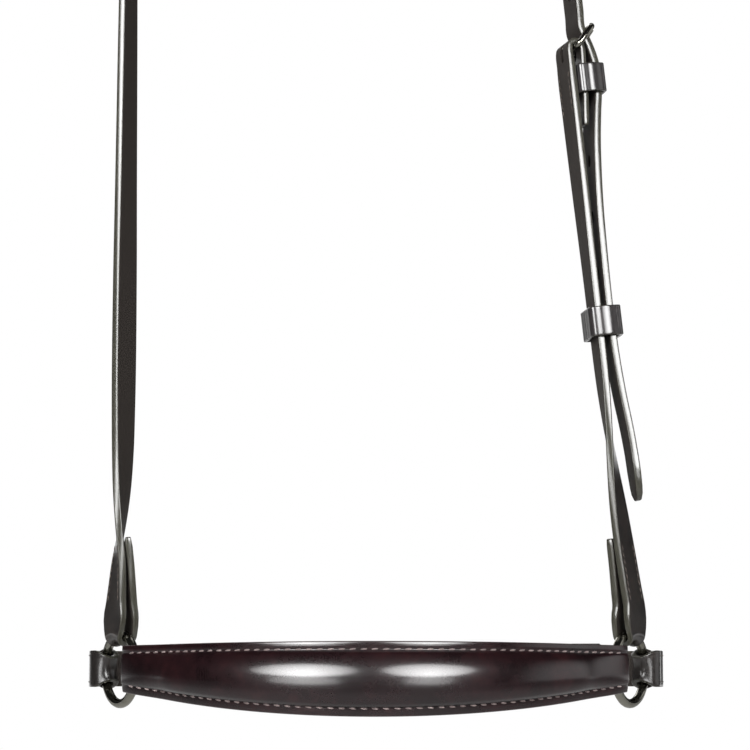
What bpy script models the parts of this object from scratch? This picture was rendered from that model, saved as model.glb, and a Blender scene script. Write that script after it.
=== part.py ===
"""Drop noseband of a riding bridle, in metres, +Z up.

The origin is on the inner face of the head strap where it lies over the poll.
-Y is to the front and +X is the horse's near side, where the straps buckle.
"near" and "off" name the two sides, as they do in a stable.
"""

import math

import bmesh
import bpy
import numpy as np
from mathutils import Matrix, Vector

X = Vector((1, 0, 0))
Y = Vector((0, 1, 0))
Z = Vector((0, 0, 1))
NEAR = 1
OFF = -1

# Fits.
FIT = 0.0003
PLY_GAP = 0.00035
OVERRUN = 0.004

# Strap leather.
STRAP_WIDTH = 0.016
STRAP_THICKNESS = 0.0032
TURN_WIDTH = 0.0135
TURN_THICKNESS = 0.0024
TURNBACK_THICKNESS = 0.0030
TURNBACK_END_SHARE = 0.8
EDGE_ROUND = 0.0008
TIP_LENGTH = 0.010
TIP_WIDTH = 0.004
TIP_THICKNESS = 0.0022

# Rings.
RING_SPACING = 0.2225
RING_WIRE = 0.004
RING_RADIUS = 0.01515
RING_TURN = math.radians(58)

# Head strap and cheek strap.
RISE = 0.451
TURN_SETTLE = 0.012
SPREAD_HEIGHT = 0.090
TURNBACK_LENGTH = 0.030
TURNBACK_SHARES = (1, 0.9, 0.68, 0.45, 0.22, 0)
NEAR_LEAN = math.radians(6.0)
POLL_FLAT = 0.024
OFF_TWIST_SHARES = (
    (0.06, 30), (0.08, 24), (0.10, 19), (0.13, 4), (0.16, -9), (0.20, -19), (0.25, -24),
    (0.34, -26), (0.46, -22), (0.58, -18), (0.70, -14), (0.84, -6), (1.0, 0),
)
NEAR_TWIST_SHARES = (
    (0.06, 32), (0.126, 28), (0.155, 24), (0.19, 15), (0.225, 5), (0.262, -3),
    (0.31, -7), (0.36, -8), (0.46, -12), (0.54, -15), (0.70, -15), (0.84, -8), (1.0, 0),
)
BILLET_TWIST_SHARES = ((0.16, -4), (0.262, -6), (0.36, -8), (0.46, -12), (0.54, -15), (0.62, -15))

# Head buckle and the chin buckle, which is the same.
BUCKLE_HEIGHT = 0.276
BUCKLE_WIRE = 0.0028
BUCKLE_SIDE_GAP = 0.0010
BUCKLE_CORNER = 0.0024
FRONT_BAR_GAP = 0.0012
BAR_GAP = 0.0006
BILLET_LIFT = 0.0016
FRAME_TILT = math.radians(42)
CROSSING_TILT = math.radians(19.4)
TOP_SPACING = 0.0040
TONGUE_WIRE = 0.0020
TONGUE_OVERHANG = 0.0014
TONGUE_WRAP = math.radians(235)
SLOT_GAP = 0.0005
SLOT_REACH = 0.0075
HOLE_LENGTH = 0.0056
HOLE_WIDTH = 0.0032
HOLE_PITCH = 0.0254
BUCKLE_TURNBACK = 0.036

# Keepers.
FIXED_KEEPER_LENGTH = 0.013
FIXED_KEEPER_WALL = 0.0014
FIXED_KEEPER_DROP = 0.0082
RUNNER_LENGTH = 0.0132
RUNNER_WALL = 0.0018
RUNNER_SLACK = 0.0012
KEEPER_SIDE_GAP = 0.0006
KEEPER_CORNER = 0.0010
RUNNER_HEIGHT = 0.152

# Billet of the head strap: its spacing from the cheek strap in strap thicknesses,
# against the share of the buckle's height.
BILLET_END = 0.0725
BILLET_SPACING_SHARES = (
    (0.2614, 2.85), (0.2974, 2.86), (0.3628, 2.7), (0.4281, 2.18), (0.5066, 1.76), (0.5899, 1.66),
    (0.67, 1.72), (0.7533, 1.92), (0.817, 2.3), (0.8693, 2.75),
)
HOLES_ABOVE = 2
HOLES_BELOW = 5

# Nosepiece.
NOSE_TOP_MIDDLE = 0.0113
NOSE_TOP_END = 0.0099
NOSE_BOTTOM_MIDDLE = 0.0195
NOSE_BOTTOM_END = 0.0101
COVER_THICKNESS = 0.0018
LINING_THICKNESS = 0.0018
STITCH_MARGIN = 0.0036
CROWN_HEIGHT = 0.0046
CROWN_TAPER_LENGTH = 0.034
CROWN_END_SHARE = 0.12
FLARE_LENGTH = 0.026
COVER_OVERLAP = 0.0008
NOSE_EDGE = 0.0005
CROWN_OUTER_SHARES = ((-0.88, 0.52), (-0.52, 0.9), (0, 1), (0.52, 0.9), (0.88, 0.52))
CROWN_INNER_SHARES = ((0.93, 0), (0.8, 0.62), (0.42, 0.93), (0, 1), (-0.42, 0.93), (-0.8, 0.62), (-0.93, 0))
PADDING_SHARES = ((0.84, 0.02), (0.7, 0.5), (0.36, 0.8), (0, 0.88), (-0.36, 0.8), (-0.7, 0.5), (-0.84, 0.02))
CHAPE_LENGTH = 0.016
CHAPE_THICKNESS = 0.0013
CHAPE_WIDTH = 0.0098
CHAPE_END_WIDTH = 0.0076
PADDING_INSET = 0.018
LINING_INSET = 0.0128
NOSE_STEPS = 38

# Swing of the nosepiece and the chin strap about the line through the rings.
TILT_CLEARANCE = 0.00095

# Chin strap.
CHIN_TURN_WIDTH = 0.015
CHIN_LEAN = math.radians(30)
CHIN_START = 0.0048
CHIN_BEND_RADIUS = 0.020
CHIN_BEND = math.radians(75)
CHIN_STRAIGHT = 0.072
CHIN_SPREAD = 0.060
CHIN_TURNBACK = 0.026
CHIN_BUCKLE_PLACE = 0.102
CHIN_RUNNER_PLACE = 0.0555
CHIN_BILLET_END = 0.036
CHIN_BUCKLE_TURNBACK = 0.034

# Worked out from the sizes above.
TURN_TOP = RING_RADIUS + TURN_SETTLE
HEAD_TURN = RING_WIRE / 2 + FIT + TURN_THICKNESS / 2
TILT_TURN = RING_WIRE / 2 + TILT_CLEARANCE + TURN_THICKNESS / 2
CHAPE_TURN = RING_WIRE / 2 + TILT_CLEARANCE + CHAPE_THICKNESS / 2
BAR_TURN = BUCKLE_WIRE / 2 + FIT + TURN_THICKNESS / 2
HEEL_CLEARANCE = BAR_TURN + TURN_THICKNESS / 2 + BAR_GAP + STRAP_THICKNESS / 2
FRONT_CLEARANCE = BUCKLE_WIRE / 2 + FRONT_BAR_GAP + STRAP_THICKNESS / 2
BUCKLE_LENGTH = (HEEL_CLEARANCE + FRONT_CLEARANCE) / math.sin(FRAME_TILT + CROSSING_TILT)
BILLET_SEAT = HEEL_CLEARANCE / math.cos(CROSSING_TILT) + BILLET_LIFT
FLARE = CHAPE_TURN + CHAPE_THICKNESS / 2 + FIT
CLOSED_PLIES = (STRAP_THICKNESS + TURNBACK_THICKNESS) / 2 + PLY_GAP
FACE_GAP = FIT / 2

# The poll lies over neither ring exactly, because the near side leans inwards.
NEAR_DRIFT = math.tan(NEAR_LEAN) * (RISE + STRAP_THICKNESS / 2 - TURN_TOP)
NEAR_STEP = (BAR_TURN + TOP_SPACING) * math.cos(math.radians(15)) / math.cos(NEAR_LEAN)
POLL_RADIUS = (RING_SPACING - NEAR_DRIFT + NEAR_STEP - POLL_FLAT) / (
    1 + math.cos(NEAR_LEAN) - math.tan(NEAR_LEAN) * (1 - math.sin(NEAR_LEAN)))
NOSE = Vector((RING_SPACING / 2 - POLL_RADIUS - POLL_FLAT / 2, 0, -RISE))

# Plan of the nosepiece: an arc through both rings' front wires.
NOSE_RADIUS = (RING_SPACING / 2 - RING_RADIUS * math.cos(RING_TURN)) / math.sin(RING_TURN)
NOSE_ARC_Y = -RING_RADIUS * math.sin(RING_TURN) + NOSE_RADIUS * math.cos(RING_TURN)


# Numbers along a curve.

def ease(share):
    share = min(max(share, 0), 1)
    return share * share * (3 - 2 * share)


def smooth(table, place):
    """Value at a place of a smooth curve through (place, value) pairs."""
    places = [pair[0] for pair in table]
    values = [pair[1] for pair in table]
    slopes = np.gradient(values, places)
    i = int(np.clip(np.searchsorted(places, place) - 1, 0, len(places) - 2))
    span = places[i + 1] - places[i]
    t = min(max((place - places[i]) / span, 0), 1)
    rise = values[i + 1] - values[i]
    bend_in = slopes[i] * span - rise
    bend_out = rise - slopes[i + 1] * span
    return values[i] + rise * t + t * (1 - t) * ((1 - t) * bend_in + t * bend_out)


# Materials.

def make_material(name, colour, roughness, metallic):
    material = bpy.data.materials.new(name)
    material.use_nodes = True
    shader = material.node_tree.nodes["Principled BSDF"]
    shader.inputs["Base Color"].default_value = (*colour, 1)
    shader.inputs["Roughness"].default_value = roughness
    shader.inputs["Metallic"].default_value = metallic
    material.diffuse_color = (*colour, 1)
    return material


# Objects.

def clear_scene():
    for item in list(bpy.data.objects):
        bpy.data.objects.remove(item, do_unlink=True)


def new_collection(name):
    collection = bpy.data.collections.new(name)
    bpy.context.scene.collection.children.link(collection)
    return collection


def add_object(name, data, material, collection):
    item = bpy.data.objects.new(name, data)
    collection.objects.link(item)
    if material:
        item.data.materials.append(material)
    return item


def loft(name, rows, material, collection, origin, parent=None):
    """A closed solid through rows of points, its object's origin at a joint."""
    shape = bmesh.new()
    rings = [[shape.verts.new(point - origin) for point in row] for row in rows]
    for here, there in zip(rings, rings[1:]):
        for i in range(len(here)):
            j = (i + 1) % len(here)
            shape.faces.new((here[i], here[j], there[j], there[i]))
    shape.faces.new(rings[0])
    shape.faces.new(rings[-1])
    bmesh.ops.recalc_face_normals(shape, faces=shape.faces)
    mesh = bpy.data.meshes.new(name)
    shape.to_mesh(mesh)
    shape.free()
    mesh.shade_smooth()
    mesh.set_sharp_from_angle(angle=math.radians(40))
    item = add_object(name, mesh, material, collection)
    hang(item, origin, parent)
    return item


def hang(item, origin, parent):
    """Place an object, under an empty that sits unturned at a joint where it has one."""
    item.parent = parent
    item.location = origin - parent.location if parent else origin


def joint_empty(name, place, collection):
    empty = add_object(name, None, None, collection)
    empty.location = place
    empty.empty_display_size = RING_RADIUS
    return empty


def axes_matrix(place, first, second, third):
    turned = Matrix((first, second, third)).transposed().to_4x4()
    return Matrix.Translation(place) @ turned


def set_frame(item, matrix, parent=None):
    """Place an object by a world matrix, under an unturned empty where it has one."""
    if parent:
        item.parent = parent
        matrix = Matrix.Translation(-parent.location) @ matrix
    item.matrix_basis = matrix


def cut(item, cutter, name):
    boolean = item.modifiers.new(name, "BOOLEAN")
    boolean.operation = "DIFFERENCE"
    boolean.solver = "EXACT"
    boolean.object = cutter


def hide_cutter(item):
    item.hide_render = True
    item.display_type = "WIRE"


# Strap sections.

def section(width, thickness):
    """Points (across, out) round a strap with rounded edges."""
    half = width / 2
    flat = half - min(EDGE_ROUND, thickness / 3)
    rim = thickness / 2
    return [(-half, 0), (-flat, -rim), (0, -rim), (flat, -rim),
            (half, 0), (flat, rim), (0, rim), (-flat, rim)]


def strap_row(centre, out, across, width=STRAP_WIDTH, thickness=STRAP_THICKNESS):
    return [centre + across * v + out * k for v, k in section(width, thickness)]


def path_rows(centres, across, sizes):
    """Rows along a path of centres, square to it, with one direction across."""
    rows = []
    for i, centre in enumerate(centres):
        before = centres[max(i - 1, 0)]
        after = centres[min(i + 1, len(centres) - 1)]
        heading = (after - before).normalized()
        rows.append(strap_row(centre, across.cross(heading).normalized(), across, *sizes[i]))
    return rows


# Rings and the straps that turn round them.

def ring_centre(side):
    return NOSE + X * (side * RING_SPACING / 2)


def ring_front(side):
    """Level direction in the ring's plane, towards the nosepiece."""
    return Vector((-side * math.cos(RING_TURN), -math.sin(RING_TURN), 0))


def ring_outward(side):
    """The ring's own axis, away from the horse."""
    return Vector((side * math.sin(RING_TURN), -math.cos(RING_TURN), 0))


class Turn:
    """A strap turned round the ring's wire.

    p runs from the wire along the strap, q runs out of the strap, and v across it.
    Round the wire the strap follows the ring's curve, and past TURN_SETTLE it is flat.
    """

    def __init__(self, side, pull, skew=0):
        self.centre = ring_centre(side)
        self.pull = pull
        self.outward = ring_outward(side)
        self.across = pull.cross(self.outward)
        self.skew = skew

    def at(self, p, q, v):
        round_ring = v / RING_RADIUS
        rest = ease(p / TURN_SETTLE)
        angle = round_ring * (1 - rest)
        reach = self.pull * math.cos(angle) + self.across * math.sin(angle)
        wire = (self.centre + self.pull * (RING_RADIUS * math.cos(angle))
                + self.across * (RING_RADIUS * math.sin(round_ring) * (1 - rest) + v * rest))
        ahead = reach * math.cos(self.skew) + self.outward * math.sin(self.skew)
        aside = self.outward * math.cos(self.skew) - reach * math.sin(self.skew)
        return wire + ahead * p + aside * q

    def row(self, p, q, normal, width, thickness):
        return [self.at(p + normal[0] * k, q + normal[1] * k, v)
                for v, k in section(width, thickness)]

    def bight(self, radius, width, thickness, steps=7):
        rows = []
        for i in range(steps):
            angle = -math.pi / 2 + math.pi * i / (steps - 1)
            normal = (-math.cos(angle), math.sin(angle))
            rows.append(self.row(normal[0] * radius, normal[1] * radius, normal, width, thickness))
        return rows


def widened(p, narrow=TURN_WIDTH, wide=STRAP_WIDTH):
    return narrow + (wide - narrow) * ease(p / TURN_SETTLE)


def thickened(p, thin=TURN_THICKNESS, thick=STRAP_THICKNESS):
    return thin + (thick - thin) * ease(p / TURN_SETTLE)


# Head strap and cheek strap: the long ply on each side.

def side_lean(side):
    return NEAR_LEAN if side == NEAR else 0


def side_twist(side, height):
    table = NEAR_TWIST_SHARES if side == NEAR else OFF_TWIST_SHARES
    return math.radians(smooth(table, height / RISE))


def side_axes(side, twist):
    """Directions along a side's strap, upwards, and out of its face."""
    lean = side_lean(side)
    along = Vector((-side * math.sin(lean), 0, math.cos(lean)))
    level = Vector((side * math.cos(lean), 0, math.sin(lean)))
    return along, level * math.cos(twist) - Y * math.sin(twist)


def ring_slack(height):
    return (1 - min(max((height - RING_RADIUS) / SPREAD_HEIGHT, 0), 1)) ** 2


def side_place(side, height):
    """Centre of a side's long ply at a height over the ring's centre."""
    drift = math.tan(side_lean(side)) * max(height - TURN_TOP, 0)
    return (ring_centre(side) + Z * height - X * (side * drift)
            + ring_outward(side) * (HEAD_TURN * ring_slack(height)))


def ply_spacing(height):
    open_plies = 2 * HEAD_TURN
    share = (height - RING_RADIUS) / (TURN_SETTLE + TURNBACK_LENGTH)
    return CLOSED_PLIES + (open_plies - CLOSED_PLIES) * (1 - min(max(share, 0), 1)) ** 1.6


def side_row(side, height):
    along, out = side_axes(side, side_twist(side, height))
    return strap_row(side_place(side, height), out, along.cross(out))


def side_rows(side, end, steps):
    """Rows of the long ply from TURN_TOP, level with the turned-back ply's, then evenly to the end."""
    heights = [TURN_TOP + TURNBACK_LENGTH * share for share in reversed(TURNBACK_SHARES)]
    heights += list(np.linspace(heights[-1], end, steps)[1:])
    return [side_row(side, float(height)) for height in heights]


def ring_end_rows(side):
    """From the turned-back end, down round the ring's top and up to TURN_TOP."""
    rows = []
    for share in TURNBACK_SHARES:
        height = TURN_TOP + TURNBACK_LENGTH * share
        along, out = side_axes(side, side_twist(side, height))
        centre = side_place(side, height) - out * ply_spacing(height)
        thickness = TURNBACK_THICKNESS * (TURNBACK_END_SHARE if share == 1 else 1)
        rows.append(strap_row(centre, -out, along.cross(out), STRAP_WIDTH, thickness))
    turn = Turn(side, Z)
    levels = [TURN_SETTLE * share for share in (0.7, 0.4, 0.15)]
    for p in levels:
        q = HEAD_TURN * ring_slack(RING_RADIUS + p) - ply_spacing(RING_RADIUS + p)
        rows.append(turn.row(p, q, (0, -1), widened(p), thickened(p, TURN_THICKNESS, TURNBACK_THICKNESS)))
    rows += turn.bight(HEAD_TURN, TURN_WIDTH, TURN_THICKNESS)
    for p in reversed(levels):
        q = HEAD_TURN * ring_slack(RING_RADIUS + p)
        rows.append(turn.row(p, q, (0, 1), widened(p), thickened(p)))
    return rows


# A buckle's seat: the heel bar's centre and the strap's directions there.

class Seat:
    """along runs from the ring to the buckle, out leaves the strap's outer face."""

    def __init__(self, place, along, out):
        self.place = place
        self.along = along
        self.out = out
        self.across = along.cross(out)

    def at(self, out, along):
        return self.place + self.out * out + self.along * along

    def moved(self, out, along):
        return Seat(self.at(out, along), self.along, self.out)


def head_seat():
    along, out = side_axes(NEAR, side_twist(NEAR, BUCKLE_HEIGHT))
    return Seat(side_place(NEAR, BUCKLE_HEIGHT) + out * BAR_TURN, along, out)


def bar_spacing(distance, length):
    """Spacing of the two plies below a heel bar."""
    share = min(max(distance / length, 0), 1)
    return CLOSED_PLIES + (2 * BAR_TURN - CLOSED_PLIES) * (1 - share * share)


def bar_end_rows(seat, length):
    """Round the heel bar from the long ply, then back down on the outer side."""
    rows = []
    for distance in (TURN_SETTLE, TURN_SETTLE * 0.5):
        rows.append(strap_row(seat.at(-BAR_TURN, -distance), -seat.out, -seat.across,
                              STRAP_WIDTH, thickened(distance)))
    steps = 8
    for i in range(steps):
        angle = math.pi * i / (steps - 1)
        normal = seat.along * math.sin(angle) - seat.out * math.cos(angle)
        rows.append(strap_row(seat.place + normal * BAR_TURN, normal, -seat.across,
                              STRAP_WIDTH, TURN_THICKNESS))
    for share in (0.2, 0.45, 0.7, 0.9, 1):
        distance = length * share
        centre = seat.at(bar_spacing(distance, length) - BAR_TURN, -distance)
        thickness = TURN_THICKNESS * (TURNBACK_END_SHARE if share == 1 else 1)
        rows.append(strap_row(centre, seat.out, -seat.across, STRAP_WIDTH, thickness))
    return rows


def crossing_places(seat):
    """Centres of the strap that comes down behind the front bar and out over the heel bar."""
    crossing_out = math.cos(CROSSING_TILT) * HEEL_CLEARANCE
    crossing_along = math.sin(CROSSING_TILT) * HEEL_CLEARANCE
    up_out = -math.sin(CROSSING_TILT)
    up_along = math.cos(CROSSING_TILT)
    places = [seat.at(TOP_SPACING, BUCKLE_LENGTH * 1.9), seat.at(TOP_SPACING, BUCKLE_LENGTH * 1.4)]
    for share in (0.5, 0.2, -0.15):
        step = BUCKLE_LENGTH * share
        places.append(seat.at(crossing_out + up_out * step, crossing_along + up_along * step))
    return places


def hole_place(seat):
    """Where the tongue's centre line meets the strap's centre line."""
    along_frame = math.cos(FRAME_TILT)
    out_frame = math.sin(FRAME_TILT)
    rest = BUCKLE_WIRE / 2 + FIT + TONGUE_WIRE / 2
    start_out = rest * along_frame
    start_along = -rest * out_frame
    square_out = math.cos(CROSSING_TILT)
    square_along = math.sin(CROSSING_TILT)
    gap = HEEL_CLEARANCE - (start_out * square_out + start_along * square_along)
    reach = gap / (out_frame * square_out + along_frame * square_along)
    return seat.at(start_out + out_frame * reach, start_along + along_frame * reach)


# Buckles.

def rounded_rectangle(width, height, corner, steps=3):
    """Points round a rectangle centred on zero."""
    points = []
    for turn, (sx, sy) in enumerate(((1, 1), (-1, 1), (-1, -1), (1, -1))):
        cx = sx * (width / 2 - corner)
        cy = sy * (height / 2 - corner)
        for i in range(steps + 1):
            angle = math.pi / 2 * (turn + i / steps)
            points.append((cx + corner * math.cos(angle), cy + corner * math.sin(angle)))
    return points


def wire_curve(name, points, radius, closed, resolution=2):
    curve = bpy.data.curves.new(name, "CURVE")
    curve.dimensions = "3D"
    curve.bevel_depth = radius
    curve.bevel_resolution = resolution
    curve.use_fill_caps = not closed
    spline = curve.splines.new("POLY")
    spline.points.add(len(points) - 1)
    for point, place in zip(spline.points, points):
        point.co = (*place, 1)
    spline.use_cyclic_u = closed
    spline.use_smooth = True
    return curve


def frame_axes(seat):
    """Directions along the buckle frame, out of it, and across it."""
    along = seat.along * math.cos(FRAME_TILT) + seat.out * math.sin(FRAME_TILT)
    out = seat.out * math.cos(FRAME_TILT) - seat.along * math.sin(FRAME_TILT)
    return along, out, along.cross(out)


def make_buckle(name, seat, material, collection, parent=None):
    """Wire frame with its heel bar through the seat's place."""
    width = STRAP_WIDTH + 2 * BUCKLE_SIDE_GAP + BUCKLE_WIRE
    outline = rounded_rectangle(width, BUCKLE_LENGTH, BUCKLE_CORNER)
    points = [(x, y + BUCKLE_LENGTH / 2, 0) for x, y in outline]
    curve = wire_curve(name, points, BUCKLE_WIRE / 2, closed=True)
    item = add_object(name, curve, material, collection)
    along, out, across = frame_axes(seat)
    set_frame(item, axes_matrix(seat.place, across, along, out), parent)
    return item


def make_tongue(name, seat, material, collection, parent=None):
    """Tongue hooked round the heel bar, its tip on the front bar."""
    rest = BUCKLE_WIRE / 2 + FIT + TONGUE_WIRE / 2
    tip = BUCKLE_LENGTH + BUCKLE_WIRE / 2 + TONGUE_OVERHANG
    points = [(0, tip, rest), (0, BUCKLE_LENGTH / 2, rest)]
    steps = 9
    for i in range(steps + 1):
        angle = TONGUE_WRAP * i / steps
        points.append((0, -rest * math.sin(angle), rest * math.cos(angle)))
    curve = wire_curve(name, points, TONGUE_WIRE / 2, closed=False)
    item = add_object(name, curve, material, collection)
    along, out, across = frame_axes(seat)
    set_frame(item, axes_matrix(seat.place, across, along, out), parent)
    return item


def cut_box(name, matrix, size, cutters):
    shape = bmesh.new()
    bmesh.ops.create_cube(shape, size=1, matrix=matrix @ Matrix.Diagonal((*size, 1)))
    mesh = bpy.data.meshes.new(name)
    shape.to_mesh(mesh)
    shape.free()
    item = add_object(name, mesh, None, cutters)
    hide_cutter(item)
    return item


def cut_oval(name, matrix, width, length, depth, cutters):
    """Oval punch, long side along the matrix's Y and its axis along Z."""
    shape = bmesh.new()
    scale = Matrix.Diagonal((width, length, depth, 1))
    bmesh.ops.create_cone(shape, cap_ends=True, segments=12, radius1=0.5, radius2=0.5, depth=1,
                          matrix=matrix @ scale)
    mesh = bpy.data.meshes.new(name)
    shape.to_mesh(mesh)
    shape.free()
    item = add_object(name, mesh, None, cutters)
    hide_cutter(item)
    return item


def cut_tongue_slot(strap, seat, cutters):
    """Slot through the turned end of a strap, where its buckle's tongue sits on the bar."""
    size = (TONGUE_WIRE + 2 * SLOT_GAP, 2 * SLOT_REACH, 2 * (HEEL_CLEARANCE + OVERRUN))
    matrix = axes_matrix(seat.place, seat.across, seat.along, seat.out)
    cut(strap, cut_box(strap.name + "_slot", matrix, size, cutters), "tongue_slot")


def cut_hole(strap, index, place, along, out, cutters):
    """Oval hole for the tongue, long way along the strap."""
    across = along.cross(out)
    matrix = axes_matrix(place, across, along, out)
    name = strap.name + "_hole_" + str(index)
    punch = cut_oval(name, matrix, HOLE_WIDTH, HOLE_LENGTH, STRAP_THICKNESS + 2 * FRONT_BAR_GAP, cutters)
    cut(strap, punch, "hole_" + str(index))


# Keepers.

def make_loop(name, seat, low, high, wall, length, material, collection, parent=None):
    """Leather loop round the straps, from low to high out of the seat's place."""
    width = STRAP_WIDTH + 2 * KEEPER_SIDE_GAP
    depth = high - low
    curve = bpy.data.curves.new(name, "CURVE")
    curve.dimensions = "2D"
    curve.fill_mode = "BOTH"
    curve.extrude = length / 2
    for grow in (wall, 0):
        outline = rounded_rectangle(depth + 2 * grow, width + 2 * grow, KEEPER_CORNER + grow)
        spline = curve.splines.new("POLY")
        spline.points.add(len(outline) - 1)
        for point, (x, y) in zip(spline.points, outline):
            point.co = (x, y, 0, 1)
        spline.use_cyclic_u = True
    item = add_object(name, curve, material, collection)
    place = seat.at((low + high) / 2, 0)
    set_frame(item, axes_matrix(place, seat.out, -seat.across, seat.along), parent)
    return item


def make_fixed_keeper(name, seat, material, collection, parent=None):
    """Loop sewn between the plies below the heel bar, round the billet."""
    middle = seat.moved(0, -FIXED_KEEPER_DROP - FIXED_KEEPER_LENGTH / 2)
    low = -BAR_TURN + STRAP_THICKNESS / 2 + FIT + FIXED_KEEPER_WALL
    high = BILLET_SEAT + STRAP_THICKNESS / 2 + FIT
    return make_loop(name, middle, low, high, FIXED_KEEPER_WALL, FIXED_KEEPER_LENGTH,
                     material, collection, parent)


def make_runner(name, seat, spacing, material, collection, parent=None):
    """Loose loop round a strap and the billet that lies a spacing outside it."""
    low = -STRAP_THICKNESS / 2 - RUNNER_SLACK
    high = spacing + STRAP_THICKNESS / 2 + RUNNER_SLACK
    return make_loop(name, seat, low, high, RUNNER_WALL, RUNNER_LENGTH,
                     material, collection, parent)


# The billet below the head buckle.

def keeper_spacing():
    return BAR_TURN + BILLET_SEAT


def billet_spacing(height):
    """Spacing of the billet from the cheek strap's centre."""
    seat_share = 1 - (FIXED_KEEPER_DROP + FIXED_KEEPER_LENGTH) / BUCKLE_HEIGHT
    table = [(share, value * STRAP_THICKNESS) for share, value in BILLET_SPACING_SHARES]
    table.append((seat_share, keeper_spacing()))
    table.append((1, keeper_spacing()))
    return smooth(table, height / BUCKLE_HEIGHT)


def billet_frame(height):
    twist = math.radians(smooth(BILLET_TWIST_SHARES, height / RISE))
    along, out = side_axes(NEAR, twist)
    return side_place(NEAR, height) + out * billet_spacing(height), along, out


def tip_size(distance):
    """Width and thickness of a billet at a distance from its rounded tip."""
    share = min(distance / TIP_LENGTH, 1)
    grown = math.sqrt(1 - (1 - share) ** 2)
    return (TIP_WIDTH + (STRAP_WIDTH - TIP_WIDTH) * grown,
            TIP_THICKNESS + (STRAP_THICKNESS - TIP_THICKNESS) * grown)


# Whole straps.

def poll_places():
    """Centres, headings and twists of the head strap over the poll."""
    top = STRAP_THICKNESS / 2
    off_middle = Vector((-POLL_FLAT / 2, 0, top - POLL_RADIUS))
    near_middle = off_middle + X * POLL_FLAT
    seat = head_seat()
    line_y = seat.at(TOP_SPACING, 0).y
    steps = 9
    places = []
    for i in range(steps + 1):
        angle = math.pi - math.pi / 2 * i / steps
        out = Vector((math.cos(angle), 0, math.sin(angle)))
        place = off_middle + out * POLL_RADIUS
        places.append((place, out, side_twist(OFF, place.z + RISE - top)))
    for i in range(steps + 1):
        angle = math.pi / 2 - (math.pi / 2 - NEAR_LEAN) * i / steps
        out = Vector((math.cos(angle), 0, math.sin(angle)))
        place = near_middle + out * POLL_RADIUS
        twist = side_twist(NEAR, place.z + RISE - top)
        places.append((place + Y * (line_y * ease(i / steps)), out, twist))
    return places


def make_head_strap(material, collection, cutters):
    rows = ring_end_rows(OFF)
    poll = poll_places()
    arch_height = poll[0][0].z + RISE
    rows += side_rows(OFF, arch_height, 17)[:-1]
    for place, level, twist in poll:
        out = level * math.cos(twist) - Y * math.sin(twist)
        heading = Vector((level.z, 0, -level.x))
        rows.append(strap_row(place, out, heading.cross(out)))
    seat = head_seat()
    crossing = crossing_places(seat)
    last = poll[-1][0]
    for share in (0.33, 0.67):
        place = last.lerp(crossing[0], share)
        along, out = side_axes(NEAR, side_twist(NEAR, place.z + RISE))
        rows.append(strap_row(place, out, out.cross(along)))
    bottom = BUCKLE_HEIGHT - FIXED_KEEPER_DROP
    crossing.append(billet_frame(bottom)[0])
    plain = [(STRAP_WIDTH, STRAP_THICKNESS)] * len(crossing)
    rows += path_rows(crossing, -seat.across, plain)
    for height in np.linspace(bottom, BILLET_END + TIP_LENGTH, 17)[1:]:
        place, along, out = billet_frame(float(height))
        rows.append(strap_row(place, out, out.cross(along)))
    for share in (0.66, 0.38, 0.15, 0):
        place, along, out = billet_frame(BILLET_END + TIP_LENGTH * share)
        rows.append(strap_row(place, out, out.cross(along), *tip_size(TIP_LENGTH * share)))
    strap = loft("head_strap", rows, material, collection, Vector((0, 0, 0)))
    cut_head_holes(strap, seat, cutters)
    return strap


def cut_head_holes(strap, seat, cutters):
    square = seat.out * math.cos(CROSSING_TILT) + seat.along * math.sin(CROSSING_TILT)
    up = seat.along * math.cos(CROSSING_TILT) - seat.out * math.sin(CROSSING_TILT)
    cut_hole(strap, 0, hole_place(seat), up, square, cutters)
    for i in range(1, HOLES_BELOW + 1):
        place, along, out = billet_frame(BUCKLE_HEIGHT - HOLE_PITCH * i)
        cut_hole(strap, i, place, along, out, cutters)
    for i in range(1, HOLES_ABOVE + 1):
        place = seat.at(TOP_SPACING, HOLE_PITCH * i)
        twist = side_twist(NEAR, place.z + RISE)
        along, out = side_axes(NEAR, twist)
        cut_hole(strap, HOLES_BELOW + i, place, along, out, cutters)


def make_cheek_strap(material, collection, cutters):
    rows = ring_end_rows(NEAR)
    seat = head_seat()
    rows += side_rows(NEAR, BUCKLE_HEIGHT - TURN_SETTLE, 14)[:-1]
    ends = bar_end_rows(seat, BUCKLE_TURNBACK)
    rows += [turned(row) for row in ends]
    strap = loft("cheek_strap", rows, material, collection, Vector((0, 0, 0)))
    cut_tongue_slot(strap, seat, cutters)
    return strap


def turned(row):
    """The same section, started half way round, for a strap whose faces swap names."""
    half = len(row) // 2
    return row[half:] + row[:half]


# Nosepiece.

def nose_frame(angle, overlap=0):
    """Place, outward direction and heading on the nosepiece's arc."""
    out = Vector((math.sin(angle), -math.cos(angle), 0))
    heading = Vector((math.cos(angle), math.sin(angle), 0))
    place = NOSE + Vector((0, NOSE_ARC_Y, 0)) + out * NOSE_RADIUS
    return place + heading * (math.copysign(overlap, angle)), out


def nose_edges(angle):
    """Bottom and top of the nosepiece, from its arc's level."""
    share = math.cos(math.pi / 2 * min(abs(angle) / RING_TURN, 1))
    bottom = NOSE_BOTTOM_END + (NOSE_BOTTOM_MIDDLE - NOSE_BOTTOM_END) * share
    top = NOSE_TOP_END + (NOSE_TOP_MIDDLE - NOSE_TOP_END) * share
    return -bottom, top


def crown_height(angle):
    """Height of the crown, which runs out towards both rings."""
    distance = (RING_TURN - abs(angle)) * NOSE_RADIUS
    share = CROWN_END_SHARE + (1 - CROWN_END_SHARE) * ease(distance / CROWN_TAPER_LENGTH)
    return CROWN_HEIGHT * share


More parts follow.
